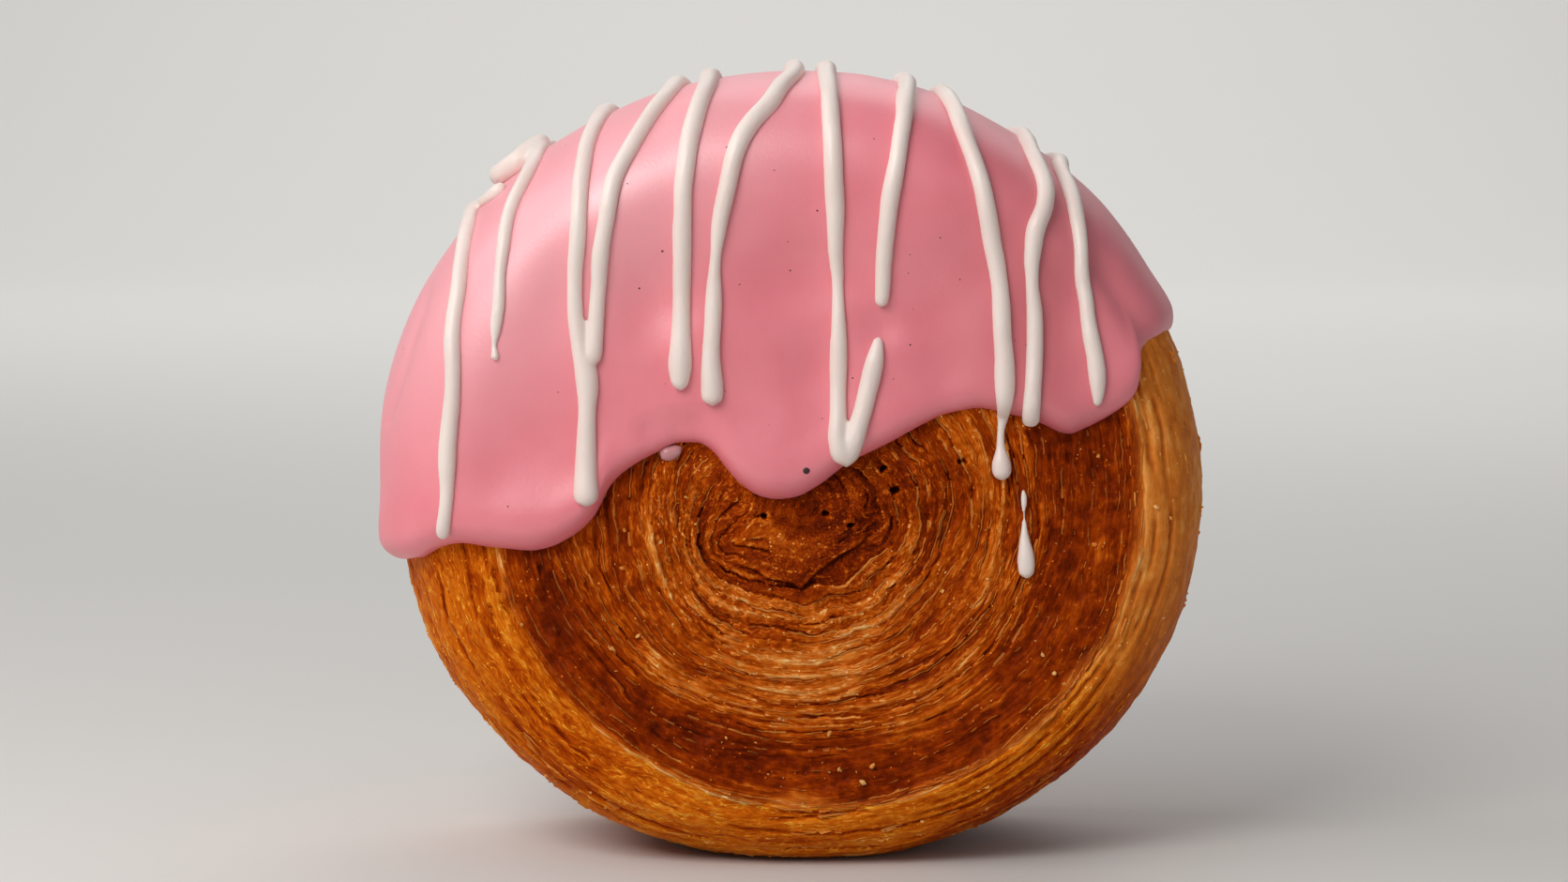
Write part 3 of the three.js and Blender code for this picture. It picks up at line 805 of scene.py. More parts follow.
def make_strips(name, bare, aside, height, rise, thick, shade, fibre):
    """Each argument has a row for each strip and a column for each of its stations."""
    bpy.ops.object.select_all(action="DESELECT")
    bpy.ops.mesh.primitive_circle_add(vertices=3, radius=1, fill_type="NGON")
    bpy.ops.object.mode_set(mode="EDIT")
    bpy.ops.mesh.select_all(action="SELECT")
    for _ in range(STATIONS - 1):
        bpy.ops.mesh.extrude_region_move(TRANSFORM_OT_translate={"value": (0, 0, 1)})
    bpy.ops.object.mode_set(mode="OBJECT")
    strips, places = make_copies(name, len(bare))
    station = np.rint(places[:, 2]).astype(int)
    corner = np.argmax(places[:, :2] @ CORNERS.T, axis=1)
    out = outward(bare.reshape(-1, 3)).reshape(bare.shape)
    top = bare + out * (height + rise)[..., None] * MM
    low = bare + out * (height - ROOT)[..., None] * MM
    half = aside * (thick / 2 * MM)[:, None, None]
    leaning = np.sign(np.sin(thick * 9e4))[:, None]  # to one side or the other, by chance
    lean = aside * (rise * leaning * 0.5 * MM)[..., None]
    corners = np.stack([top + lean, low - half, low + half])
    points = corners[corner, :, station].transpose(1, 0, 2).reshape(-1, 3)
    move_vertices(strips, settle(points))
    bpy.ops.object.shade_smooth_by_angle(angle=math.radians(50))
    # The foot of each strip is darker than its top: painted shade where it meets the crust.
    shades = shade[:, station] - 0.2 * (corner > 0)
    keep_on_vertices(strips, shade=shades.ravel(), fibre=fibre[:, station].reshape(-1, 3))
    print(name, count_triangles(strips), "triangles")
    return strips


def ragged_rise(count, seed):
    """Height of strips along their length: nothing at the ends, torn in between."""
    share = np.linspace(0, 1, STATIONS)
    torn = np.random.default_rng(seed).uniform(-0.1, 1, (count, STATIONS))
    return torn * np.sin(np.pi * share) ** 0.6


def strips_shown(bare):
    """1 for strips that stand clear of the glaze, less for those at its edge."""
    return (1 - glaze_cover(bare + [0, 0, 2 * MM])).reshape(-1, STATIONS).min(axis=1)


# %% Torn edges on the faces
FACE_STRIPS = 1100
HIDDEN_RISE = 0.35  # how far strips under the glaze are pushed down, in millimetres


def along_layers(place, turn, side):
    """Where layers of the coil are at angles of turn: across, and above the axis."""
    coil = place + COIL_PITCH * turn / (2 * np.pi)
    way = turn + np.pi / 2
    far = coil
    for _ in range(8):
        ease = 1 - smoothstep(0, COIL_END, np.abs(far))
        x = far * np.cos(way) + HEART[side][0] * ease
        z = far * np.sin(way) + HEART[side][1] * ease
        far = 0.5 * far + 0.5 * (coil - coil_bend(turn * COIL_ALONG, far, x, z, side))
    return x, z


def choose_strips(draw, side):
    """Chance places for strips: from the middle, turn, and how far they are in the browned ring."""
    tries = 2 * FACE_STRIPS
    start = COIL_END * np.sqrt(draw.uniform(0.06, 0.98, tries))
    turned = draw.uniform(0.3 * np.pi, 1.7 * np.pi, tries)
    at_lip = draw.random(tries) < 0.16
    lip = lip_run(turned + np.pi / 2, side)
    start = np.where(at_lip, lip - draw.uniform(0.1, 2.4, tries), np.minimum(start, lip - 0.3))
    ringed = smoothstep(27.5, 33, start) * (1 - at_lip)
    keep = np.flatnonzero(draw.random(tries) > 0.55 * ringed)[:FACE_STRIPS]
    return start[keep], turned[keep], ringed[keep]


def make_face_strips(name, side):
    draw = np.random.default_rng(SEED[side] + 7)
    start, turned, ringed = choose_strips(draw, side)
    count = len(start)
    edges = cut_layers(SEED[side] + 100, *THICK_LAYERS)
    layer = np.searchsorted(edges, start - COIL_PITCH * turned / (2 * np.pi))
    place = np.repeat(edges[np.clip(layer, 0, len(edges) - 1)], STATIONS)
    length = draw.uniform(0.7, 3.6, count) * (1 - 0.5 * ringed)
    turn = (turned[:, None] + np.linspace(-0.5, 0.5, STATIONS) * (length / start)[:, None]).ravel()
    x, z = along_layers(place, turn, side)
    way = np.column_stack([np.cos(turn + np.pi / 2), 0 * turn, np.sin(turn + np.pi / 2)])
    here = face_relief(x, z, side)
    beside = [face_relief(x + step * way[:, 0], z + step * way[:, 2], side) for step in (-0.2, 0.2)]
    height = np.max([here.height, *(relief.height for relief in beside)], axis=0)
    height = np.clip(height, FACE_LOW, FACE_HIGH - 0.25)
    bare = on_face(x * MM, z * MM, side)
    shown = strips_shown(bare)
    rise = ragged_rise(count, SEED[side]) * (draw.uniform(0.06, 0.3, count) * shown)[:, None]
    rise -= HIDDEN_RISE * (1 - shown)[:, None]
    net = (count, STATIONS)
    ringed = ringed[:, None]
    shade = here.shade.reshape(net) * (0.35 + 0.35 * ringed) + 0.42 - 0.27 * ringed
    shade += draw.uniform(-0.12, 0.14, count)[:, None]
    return make_strips(name, bare.reshape(*net, 3), way.reshape(*net, 3), height.reshape(net), rise,
                       draw.uniform(0.26, 0.6, count), shade, here.fibre.reshape(*net, 3))


edges_front = make_face_strips("torn_edges_front", -1)
edges_back = make_face_strips("torn_edges_back", 1)

# %% Torn edges on the rim
RIM_STRIPS = 700


def make_rim_strips():
    draw = np.random.default_rng(77)
    angle = draw.uniform(math.radians(188), math.radians(388), RIM_STRIPS * 2)
    smooth = towards(angle, 0, 0.2, 0.9)
    angle = angle[draw.random(RIM_STRIPS * 2) > 0.8 * smooth][:RIM_STRIPS]
    count = len(angle)
    middle_line = np.repeat(draw.uniform(-26.5, 26.5, count), STATIONS)
    length = draw.uniform(0.8, 4, count)
    turn = np.linspace(-0.5, 0.5, STATIONS) * (length / RIM_ALONG)[:, None]
    angle = (angle[:, None] + turn).ravel()
    along = angle * RIM_ALONG
    wander = 0.5 * noise(91, along / 6, middle_line / 2.5)
    wander += 0.16 * noise(92, along / 1.6, middle_line)
    middle_line = middle_line - wander
    bare = rim_points(angle, middle_line)
    aside = rim_points(angle, middle_line + 0.2) - bare
    aside /= np.linalg.norm(aside, axis=1, keepdims=True)
    relief = rim_relief(angle, middle_line)
    net = (count, STATIONS)
    shown = strips_shown(bare)
    rise = ragged_rise(count, 78) * (0.08 + 0.5 * draw.random(count) ** 3 * shown)[:, None]
    rise -= HIDDEN_RISE * (1 - shown)[:, None]
    shade = relief.shade.reshape(net) * 0.4 + 0.44 + draw.uniform(-0.1, 0.12, count)[:, None]
    height = np.clip(relief.height, RIM_LOW, 0.6).reshape(net)
    return make_strips("torn_edges_rim", bare.reshape(*net, 3), aside.reshape(*net, 3), height,
                       rise, draw.uniform(0.22, 0.42, count), shade, relief.fibre.reshape(*net, 3))


edges_rim = make_rim_strips()

# %% Crumbs
CRUMBS, CRUMBS_OUT = 620, 50  # how many, and how far from the middle they lie, in millimetres
SMALLEST_CRUMB = 0.1 * MM


def make_crumbs():
    draw = np.random.default_rng(5)
    bpy.ops.object.select_all(action="DESELECT")
    bpy.ops.mesh.primitive_ico_sphere_add(subdivisions=1, radius=1)
    crumbs, ball = make_copies("crumbs", CRUMBS)
    angle = draw.uniform(math.radians(182), math.radians(390), CRUMBS)
    run = CRUMBS_OUT * np.sqrt(draw.uniform(0.05, 1, CRUMBS))
    side = np.where(np.arange(CRUMBS) % 2, 1, -1)
    x, z = run * np.cos(angle), run * np.sin(angle)
    on_rim = run > np.where(side < 0, lip_run(angle, -1), lip_run(angle, 1))
    middle_line = side * draw.uniform(3, 24, CRUMBS)
    bare = np.where(on_rim[:, None], rim_points(angle, middle_line), on_face(x * MM, z * MM, side))
    height = np.where(side < 0, face_relief(x, z, -1).height, face_relief(x, z, 1).height)
    height = np.where(on_rim, rim_relief(angle, middle_line).height, height)
    hidden = glaze_cover(bare + [0, 0, 3 * MM]) > 0
    middles = bare + outward(bare) * (np.clip(height, RIM_LOW, 0.7) - 3 * hidden)[:, None] * MM
    size = SMALLEST_CRUMB * (1 + 3.9 * draw.random(CRUMBS) ** 5)
    turns = np.linalg.qr(draw.normal(size=(CRUMBS, 3, 3)))[0]
    stretch = size[:, None] * draw.uniform([0.8, 0.6, 0.3], [1.5, 1.1, 0.7], (CRUMBS, 3))
    lumps = ball * draw.uniform(0.7, 1.25, (CRUMBS, len(ball), 1))
    points = middles[:, None] + np.einsum("cvk,ck,ckj->cvj", lumps, stretch, turns)
    points = points.reshape(-1, 3)
    move_vertices(crumbs, settle(points))
    pale = np.repeat(draw.uniform(0.66, 1, CRUMBS), len(ball))
    keep_on_vertices(crumbs, shade=pale, fibre=points / MM)
    print("crumbs", count_triangles(crumbs), "triangles")
    return crumbs


crumbs = make_crumbs()

# %% [markdown]
# ## The coat of glaze
# The glaze ran down from the top as a thick coat and set with a round lip, fuller where it hangs in
# drips. It is one closed skin: columns stand at even steps round the waist, and rows run down from
# the top of the roll to the edge, turn under the lip, and close inside the dough. Broad dents and
# a few valleys where two runs met keep it from looking machined.

# %% Thickness of the glaze
GLAZE_THICKNESS, GLAZE_HEAVY = 2.1 * MM, 0.9 * MM
LIP_WIDE = 2.9 * MM
DENTS = MM * np.array([
    # across, towards the back, above the axis; how wide, how deep (less than nothing is a bulge)
    [-17.5, -22, 23.5, 5, 1.15], [-20, -22, 33, 7, -0.5], [-1, -22, 25.5, 6, 1.17],
    [5, -22, 25, 5, 0.65], [-3, -22, 33, 8, -0.45], [2, -22, 15.2, 4.5, 1.235],
    [9.2, -22, 20, 2.4, 0.585], [15, -22, 23, 6, 1.17], [17, -22, 14, 4, 0.65],
    [-12, -22, 18, 4, -0.3], [32, -22, 23, 5, 0.91], [-33, -20, 5, 6, 0.78],
    [22, -22, 29, 5, 0.65], [-50, -4, -1, 7, 1.69], [-30, -20, 24, 6, 0.78],
    [-4, -22, 6, 4, -0.3], [-33, -21, -1, 4, -0.35], [37, -21, 12, 4, 0.65],
])
VALLEYS = MM * np.array([
    # from across and above, to across and above; how wide, how deep
    [34, 30, 42.5, 17.5, 1.7, 1.1], [-42.6, 24.9, -47.8, 7.5, 0.5, 0.5],
    [-20, 7.2, -12.5, 8.4, 1.6, 0.5], [24, 33, 33, 25, 1.6, 0.35],
])


def glaze_thickness(points, from_edge):
    """Thickness over points of the drum, each at a distance from the glaze's lower edge."""
    x, y, z = points.T
    run = round_the_waist(points)
    around = np.mean([edge_height(run + step * MM) for step in (-14, -7, 0, 7, 14)], axis=0)
    drip = np.clip((around - edge_height(run)) / (6 * MM), -0.4, 1)
    coat = GLAZE_THICKNESS + GLAZE_HEAVY * np.clip(-x / ROLL_RADIUS, 0, None) ** 5
    coat += MM * (0.32 * noise(200, x / (14 * MM), y / (13 * MM), z / (16 * MM))
                  + 0.14 * noise(201, x / (6 * MM), y / (6 * MM), z / (10 * MM)))
    coat -= 0.75 * MM * smoothstep(32 * MM, 50 * MM, z) + 0.6 * MM * smoothstep(36 * MM, 48 * MM, x)
    coat -= 0.5 * MM * smoothstep(12 * MM, 38 * MM, x)
    for across, back, above, wide, deep in DENTS:
        away = (x - across) ** 2 + (y - back) ** 2 + (z - above) ** 2
        coat -= deep * np.exp(-away / wide**2)
    front = smoothstep(0, 8 * MM, -y)
    for x0, z0, x1, z1, wide, deep in VALLEYS:
        share = np.clip(((x - x0) * (x1 - x0) + (z - z0) * (z1 - z0))
                        / ((x1 - x0) ** 2 + (z1 - z0) ** 2), 0, 1)
        away = np.hypot(x - x0 - share * (x1 - x0), z - z0 - share * (z1 - z0))
        coat -= front * deep * smoothstep(0, 0.3, share + 0.05) * bell(away, wide)
    bead = bell(from_edge - 3.2 * MM, 3.4 * MM) * (0.45 + 0.6 * drip) * MM
    lip = np.clip(from_edge / LIP_WIDE, 0, 1)
    return (coat + bead) * np.sqrt(1 - (1 - lip) ** 2)


# %% Shape the glaze
GLAZE_COLUMNS, COAT_ROWS = 420, 150
LIP_ROWS = MM * np.array([4, 3.5, 3, 2.5, 2.1, 1.7, 1.35, 1.05, 0.78, 0.55, 0.36, 0.2, 0.08, 0])
SUNK = 2.5 * MM
MERIDIAN_STEPS = 160


def make_glaze():
    rows = COAT_ROWS + len(LIP_ROWS) + 2
    coat, row, column = new_ball("pink_glaze", GLAZE_COLUMNS, rows)
    run = np.arange(GLAZE_COLUMNS) / GLAZE_COLUMNS * WAIST_LENGTH
    bearing = np.interp(run, waist_run, bearings)
    level = edge_height(run) + 0.12 * MM * noise(210, run / (4 * MM))
    foot = np.column_stack([np.interp(bearing, bearings, waist[:, 0]),
                            np.interp(bearing, bearings, waist[:, 1]), level])
    edge = cast_out(foot)
    lowest = np.arctan2(np.hypot(edge[:, 0], edge[:, 1]), edge[:, 2])
    bare = np.zeros((rows + 1, GLAZE_COLUMNS, 3))
    from_edge = np.zeros((rows + 1, GLAZE_COLUMNS))
    for c in range(GLAZE_COLUMNS):
        polar = np.linspace(0, lowest[c], MERIDIAN_STEPS)
        path = cast_out(np.column_stack([np.sin(polar) * np.sin(bearing[c]),
                                         -np.sin(polar) * np.cos(bearing[c]), np.cos(polar)]))
        along = np.concatenate([[0], np.cumsum(np.linalg.norm(np.diff(path, axis=0), axis=1))])
        stops = np.concatenate([np.linspace(0, along[-1] - LIP_ROWS[0], COAT_ROWS + 1)[:-1],
                                along[-1] - LIP_ROWS])
        for axis in range(3):
            bare[:len(stops), c, axis] = np.interp(stops, along, path[:, axis])
        from_edge[:len(stops), c] = along[-1] - stops
        bare[len(stops), c] = path[-1]
    flat = bare.reshape(-1, 3)
    out = outward(flat + [0, 1e-9, 1e-9])
    thick = glaze_thickness(flat, from_edge.ravel())
    skin = (flat + out * thick[:, None]).reshape(bare.shape)
    tucked = COAT_ROWS + len(LIP_ROWS)
    skin[tucked] = (flat - out * SUNK).reshape(bare.shape)[tucked]
    skin[tucked + 1], skin[tucked + 2] = skin[tucked] / 2, 0
    skin[0] = skin[0].mean(axis=0)
    move_vertices(coat, settle(skin[row, column]))
    bpy.ops.object.shade_smooth()
    across, _, above = skin[row, column].T / MM
    # Stored for the finish: 'thin' darkens the glaze at its right with painted shade, where the coat
    # turns away from the light and is also thinner; 'pale' lightens its top and upper left with a
    # painted highlight, a broad sheen.
    thin = smoothstep(10, 30, across) * (1 - smoothstep(30, 40, across))
    thin *= 1 - 0.7 * smoothstep(26, 38, above)
    pale = smoothstep(27, 57, above - 0.76 * across) * smoothstep(-20, 12, -across)
    keep_on_vertices(coat, thin=thin, pale=pale)
    print("pink_glaze", count_triangles(coat), "triangles")
    return coat


pink_glaze = make_glaze()

# %% [markdown]
# ## Ropes of icing
# White icing was trickled back and forth over the roll, so each line runs up the back, over the
# top and down the front, where it ends in a bead or a drawn-out tip. A curve with a round bevel
# and a radius of its own at each point makes such a rope. The curves are made meshes, joined, and
# remeshed, which melts the ropes into each other where they meet.

# %% Routes of the icing
# The first numbers are how far across a rope crosses the top of the roll, and its width there. Then
# come its points down the front and down the back: across, above the axis, and width.
DRIZZLE = [
    (-38.5, 2, [
        [-38.6, 29.2, 2.2], [-38.9, 27.2, 2.1], [-39.3, 24.4, 2.1], [-40.2, 18.8, 2.1],
        [-40.6, 14.8, 2.1], [-40.9, 10.8, 2.1], [-41.3, 6.9, 2.1], [-41.4, 3.4, 2.1],
        [-41.6, -1.8, 1.7], [-41.8, -5.4, 1.9]
    ], [[-37, 26, 2.2], [-36, 6, 2.4]]),
    (-30.9, 2.2, [
        [-32.2, 35.4, 2], [-33.6, 32, 1.8], [-34.4, 28.5, 1.7], [-35.1, 25.4, 1.6],
        [-35.5, 22.4, 1.6], [-36, 19.4, 1.4], [-36.3, 17.3, 0.8], [-36.3, 15.6, 1.5]
    ], [[-29, 34, 2], [-28, 17, 2]]),
    (-23.3, 2.4, [
        [-24.2, 42, 2.3], [-25, 38.7, 2.2], [-25.8, 34.6, 2.2], [-26.5, 30.2, 2.1],
        [-26.9, 26, 2], [-26.9, 21.3, 2], [-26.5, 17.2, 2.2], [-25.8, 14.5, 2.7],
        [-25.6, 10, 2.3], [-25.7, 4, 2.7], [-25.8, -1.5, 3.4]
    ], [[-23, 36, 2.3], [-22, 4, 2.8]]),
    (-14.6, 2.4, [
        [-16.2, 45.4, 2.3], [-18.1, 42.7, 2.2], [-19.7, 40.3, 2.2], [-21.3, 37.5, 2.2],
        [-22.5, 34.2, 2.2], [-23.8, 29.7, 2.1], [-24.2, 23.8, 2], [-24.4, 19.7, 2.1],
        [-25.2, 15.3, 2.2]
    ], [[-14, 39, 2.3], [-15, 14, 2.6]]),
    (-11, 2.4, [
        [-11.6, 46, 2.3], [-12.6, 43, 2.3], [-13.5, 39.4, 2.2], [-14.3, 36, 2.2],
        [-14.3, 33, 2.2], [-14.3, 26, 2.2], [-14.5, 19, 2.5], [-14.7, 14.5, 2.7],
        [-14.6, 12.2, 1.6]
    ], [[-9, 40, 2.3], [-7, 21, 2.6]]),
    (-1, 2.4, [
        [-2.2, 48, 2.4], [-3.9, 45.8, 2.4], [-5.9, 43.7, 2.3], [-7.1, 42, 2.3], [-8.2, 39.6, 2.2],
        [-9.1, 36.2, 2.1], [-9.8, 32, 1.9], [-10.2, 28.2, 1.5], [-10.5, 23, 2],
        [-10.7, 17.3, 2.2], [-10.8, 13.3, 2.8], [-10.8, 10.4, 2.8]
    ], [[0, 41, 2.3], [-1, 4, 2.9]]),
    (2.8, 2.4, [
        [3.2, 46.8, 2.2], [3.5, 41.5, 2.3], [3.9, 33, 2.2], [4.1, 25.2, 1.5], [4.2, 18, 2.1],
        [4.2, 10, 2.2], [4.3, 6.2, 2.4], [5.1, 4.6, 2.7], [6, 6.2, 2.5], [6.9, 8.9, 2.3],
        [7.9, 12.2, 2.4], [8.8, 16.1, 2.2], [9.3, 19, 1]
    ], [[4, 40, 2.3], [8, 14, 2.6]]),
    (12.3, 2.4, [
        [12.1, 46, 2.3], [11.5, 42.5, 2.2], [10.7, 38, 2.2], [10, 32, 2.2], [9.7, 28, 2.1],
        [9.5, 25, 1.8], [9.3, 22.4, 1.6]
    ], [[13, 39, 2.3], [15, 22, 2.5]]),
    (16.8, 2.4, [
        [17.6, 45.2, 2.3], [18.8, 42.2, 2.2], [20.2, 39.3, 2.2], [21.4, 36, 2.2],
        [22.6, 31.8, 2.2], [23.8, 26.2, 2.2], [24.3, 19, 2.3], [24.4, 12.5, 2.4],
        [24.3, 9.8, 1.8], [24.1, 7.2, 1], [24.1, 5.2, 1.2], [24.1, 3.2, 2.5], [24.1, 1.3, 2.3]
    ], [[19, 37, 2.3], [23, 12, 2.4], [24, 5.5, 1.4], [24, 2.6, 2.3]]),
    (26.9, 2.4, [
        [28, 38.8, 2.3], [28.6, 36.4, 2.3], [28.5, 34, 2.3], [27.8, 32, 2.4], [27.7, 29, 2],
        [27.9, 26, 1.7], [28.2, 22, 2.1], [28, 14, 2.2], [27.5, 7.9, 2.2]
    ], [[27.5, 32, 2.2], [27, 15, 2.4]]),
    (31.4, 2.3, [
        [31.7, 36.2, 2.2], [32.4, 32.8, 2.1], [33.2, 28.3, 1.9], [34.3, 22.7, 2],
        [35.2, 17.2, 2.1], [35.5, 13.7, 2], [35.6, 11.6, 1.4], [35.5, 10.4, 0.9]
    ], [[31.5, 28, 2.1], [34, 20, 2.2]]),
]
LOOP = [
    [-30.6, 4, 39.6, 2.2], [-31.5, -4, 38.9, 2.5], [-33, -8, 37.6, 2.9], [-34.4, -7, 36.3, 2.9],
    [-35.2, -1, 35.5, 2.5], [-35.5, 5, 35.2, 1.8],
]
TAIL = [
    [-34.7, -11, 35.4, 1.5], [-35.6, -11.5, 34.6, 1.9], [-36.6, -10.5, 33.7, 1.8],
    [-37.5, -5, 32.7, 1.3],
]
DROP = [
    [26.7, 0.5, 0.45], [26.7, -0.8, 0.85], [26.7, -2.8, 0.5], [26.7, -5.5, 1.2],
    [26.8, -8.2, 2.05], [26.8, -10.5, 1.9],
]
ROPE_STEP = 0.5 * MM


def smooth_route(points):
    """A smooth curve through points at uneven distances, at short even steps."""
    gaps = np.linalg.norm(np.diff(points[:, :3], axis=0), axis=1)[:, None]
    slopes = np.diff(points, axis=0) / gaps
    turning = (slopes[:-1] * gaps[1:] + slopes[1:] * gaps[:-1]) / (gaps[:-1] + gaps[1:])
    slopes = np.vstack([slopes[:1], turning, slopes[-1:]])
    share = np.linspace(0, 1, 60)[:, None]
    spans = zip(points, points[1:], gaps, slopes, slopes[1:])
    fine = np.vstack([
        start + (stop - start) * share**2 * (3 - 2 * share)
        + gap * share * (1 - share) * (leaving * (1 - share) - arriving * share)
        for start, stop, gap, leaving, arriving in spans])
    run = np.concatenate([[0], np.cumsum(np.linalg.norm(np.diff(fine[:, :3], axis=0), axis=1))])
    even = np.linspace(0, run[-1], int(run[-1] / ROPE_STEP))
    return np.column_stack([np.interp(even, run, fine[:, k]) for k in range(fine.shape[1])]), even


def add_rope(name, stations, seats, seed):
    """A bevelled curve over the drum: its route and widths, and how thick what it lies on is."""
    places, run = smooth_route(stations)
    wide = places[:, 3] * (1 + 0.07 * noise(seed, run / (4 * MM)))
    to_end = np.minimum(run, run[-1] - run)
    half = wide / 2
    rounded = np.sqrt(np.clip(1 - (1 - np.clip(to_end / half, 0, 1)) ** 2, 0.02, 1))
    bare = cast_out(places[:, :3])
    out = outward(bare)
    middle = bare + out * (seats(bare) + np.minimum(0.13 * wide, 0.81 * MM - 0.24 * wide))[:, None]
    sideways = np.cross(np.gradient(middle, axis=0), out)
    sideways /= np.linalg.norm(sideways, axis=1, keepdims=True)
    middle += sideways * (0.16 * MM * noise(seed + 1, run / (5 * MM)))[:, None]
    bpy.ops.curve.primitive_nurbs_path_add()
    rope = bpy.context.object
    rope.name = name
    rope.data.splines.clear()
    spline = rope.data.splines.new("POLY")
    spline.points.add(len(middle) - 1)
    spline.points.foreach_set("co", np.column_stack([settle(middle), np.ones(len(middle))]).ravel())
    spline.points.foreach_set("radius", half * rounded / MM)
    rope.data.bevel_depth = MM
    rope.data.bevel_resolution = 4
    rope.data.use_fill_caps = True
    return rope


def face_route(points, side):
    """A route down a face, from places across and above the axis, and widths."""
    return np.column_stack([on_face(points[:, 0], points[:, 1], side), points[:, 2]])


def over_glaze(bare):
    below = bare[:, 2] - edge_height(round_the_waist(bare))
    return glaze_thickness(bare, np.clip(below, 0, None))


def over_ropes(bare):
    return over_glaze(bare) + 0.8 * MM


def over_dough(bare):
    return np.full(len(bare), 0.1 * MM)


# %% Lay the ropes and melt them together
def melt_together(piece, voxel, times, kept):
    """Remeshes a piece, smooths it a number of times, and keeps a share of its triangles."""
    melt = piece.modifiers.new("melt", "REMESH")
    melt.mode = "VOXEL"
    melt.voxel_size = voxel
    soften = piece.modifiers.new("soften", "SMOOTH")
    soften.factor, soften.iterations = 0.5, times
    piece.modifiers.new("lighten", "DECIMATE").ratio = kept
    for modifier in ("melt", "soften", "lighten"):
        bpy.ops.object.modifier_apply(modifier=modifier)
    bpy.ops.object.shade_smooth()
    print(piece.name, count_triangles(piece), "triangles")


CREST_HIGH = 50  # the top of the roll, above its axis
CREST_AT, BEHIND_CREST = 3, 13  # how far back a rope passes over the top, and its next point there
bpy.ops.object.select_all(action="DESELECT")
ropes = []
for number, (crest, wide, front, back) in enumerate(DRIZZLE):
    front, back = MM * np.array(front), MM * np.array(back[::-1])
    high = math.sqrt(CREST_HIGH**2 - crest**2)
    over = MM * np.array([[crest, BEHIND_CREST, high, 2.2], [crest, CREST_AT, high, wide]])
    route = np.vstack([face_route(back, 1), over, face_route(front, -1)])
    ropes.append(add_rope(f"icing_line_{number}", route, over_glaze, 300 + 5 * number))
ropes.append(add_rope("icing_loop", MM * np.array(LOOP), over_ropes, 380))
ropes.append(add_rope("icing_tail", MM * np.array(TAIL), over_glaze, 390))
ropes.append(add_rope("icing_drop", face_route(MM * np.array(DROP), -1), over_dough, 400))
bpy.ops.object.select_all(action="DESELECT")
for rope in ropes:
    rope.select_set(True)
bpy.context.view_layer.objects.active = ropes[0]
bpy.ops.object.convert(target="MESH")
bpy.ops.object.join()
white_icing = name_piece("white_icing")
melt_together(white_icing, 0.27 * MM, 5, 0.4)

# %% [markdown]
# ## Specks and a clear drip
# A few dark specks of vanilla lie in the glaze, and thin syrup has run out under the notch of its
# edge. The specks are small balls pressed into the coat. The syrup is a short rope, melted as the
# icing was.

# %% Specks in the glaze
SPECKS = MM * np.array([  # across, above the axis, radius
    [0.4, 2.8, 0.45], [-16.6, 28.9, 0.16], [-19.4, 24.4, 0.14], [-11.2, 24.4, 0.15],
    [-7.5, 24.9, 0.1], [1.7, 33.9, 0.13], [-1.5, 26.6, 0.12], [-8.9, 40.9, 0.1],
    [-11.8, 42.6, 0.14], [6, 13.9, 0.12], [13, 18, 0.12], [10.5, 38, 0.1],
    [16.5, 31, 0.11], [-20.4, 36.4, 0.09], [-35, -1.5, 0.12], [19, 26, 0.1],
])
MORE_SPECKS = 90


def make_specks():
    draw = np.random.default_rng(21)
    bpy.ops.object.select_all(action="DESELECT")
    bpy.ops.mesh.primitive_ico_sphere_add(subdivisions=2, radius=1)
    specks, ball = make_copies("specks", len(SPECKS) + MORE_SPECKS)
    sideways = draw.normal(size=(MORE_SPECKS, 2))
    ways = np.column_stack([sideways, draw.uniform(0.1, 1.5, MORE_SPECKS)])
    bare = np.vstack([on_face(SPECKS[:, 0], SPECKS[:, 1], -1), cast_out(ways)])
    size = np.concatenate([SPECKS[:, 2], MM * draw.uniform(0.04, 0.09, MORE_SPECKS)])
    out = outward(bare)
    from_edge = np.clip(bare[:, 2] - edge_height(round_the_waist(bare)), 0, None)
    middles = bare + out * (glaze_thickness(bare, from_edge) - 0.2 * size)[:, None]
    ball = ball * (1 + 0.12 * noise(22, *(3 * ball.T)))[:, None]
    points = ball * size[:, None, None]
    points -= 0.5 * np.einsum("cvj,cj,ck->cvk", points, out, out)
    move_vertices(specks, settle((middles[:, None] + points).reshape(-1, 3)))
    bpy.ops.object.shade_smooth()
    print("specks", count_triangles(specks), "triangles")
    return specks


specks = make_specks()

# %% The clear drip
SYRUP = MM * np.array([[-17.2, 4.9, 1.3], [-16.4, 4.5, 1.9], [-15.4, 4.7, 1.7], [-14.4, 5.5, 1.1]])
clear_drip = add_rope("clear_drip", face_route(SYRUP, -1), over_dough, 420)
bpy.ops.object.convert(target="MESH")
melt_together(clear_drip, 0.2 * MM, 8, 0.8)

# %% [markdown]
# ## Finishes
# The crust's colour comes from what the modelling stored on it: a shade for each place, from dark
# gaps to pale crests, which holds the dough's tone with painted shade and painted highlight, and
# how browned it is. Fine streaks along the layers, too thin for the mesh, are added by noise that
# is stretched along the coil, and thin sheet lines add a painted highlight on their crests and a
# painted shade in the valleys between them. Glaze and icing are sugar: smooth, a little cloudy,
# with a satin sheen. The glaze's colour also has a painted highlight at its top and upper left, and
# a painted shade at its right.


# %% Helpers for materials
def srgb(red, green, blue):
    """A colour of the usual 0 to 255 kind as Blender's linear numbers."""
    parts = [c / 255 for c in (red, green, blue)]
    return [c / 12.92 if c <= 0.04045 else ((c + 0.055) / 1.055) ** 2.4 for c in parts] + [1.0]


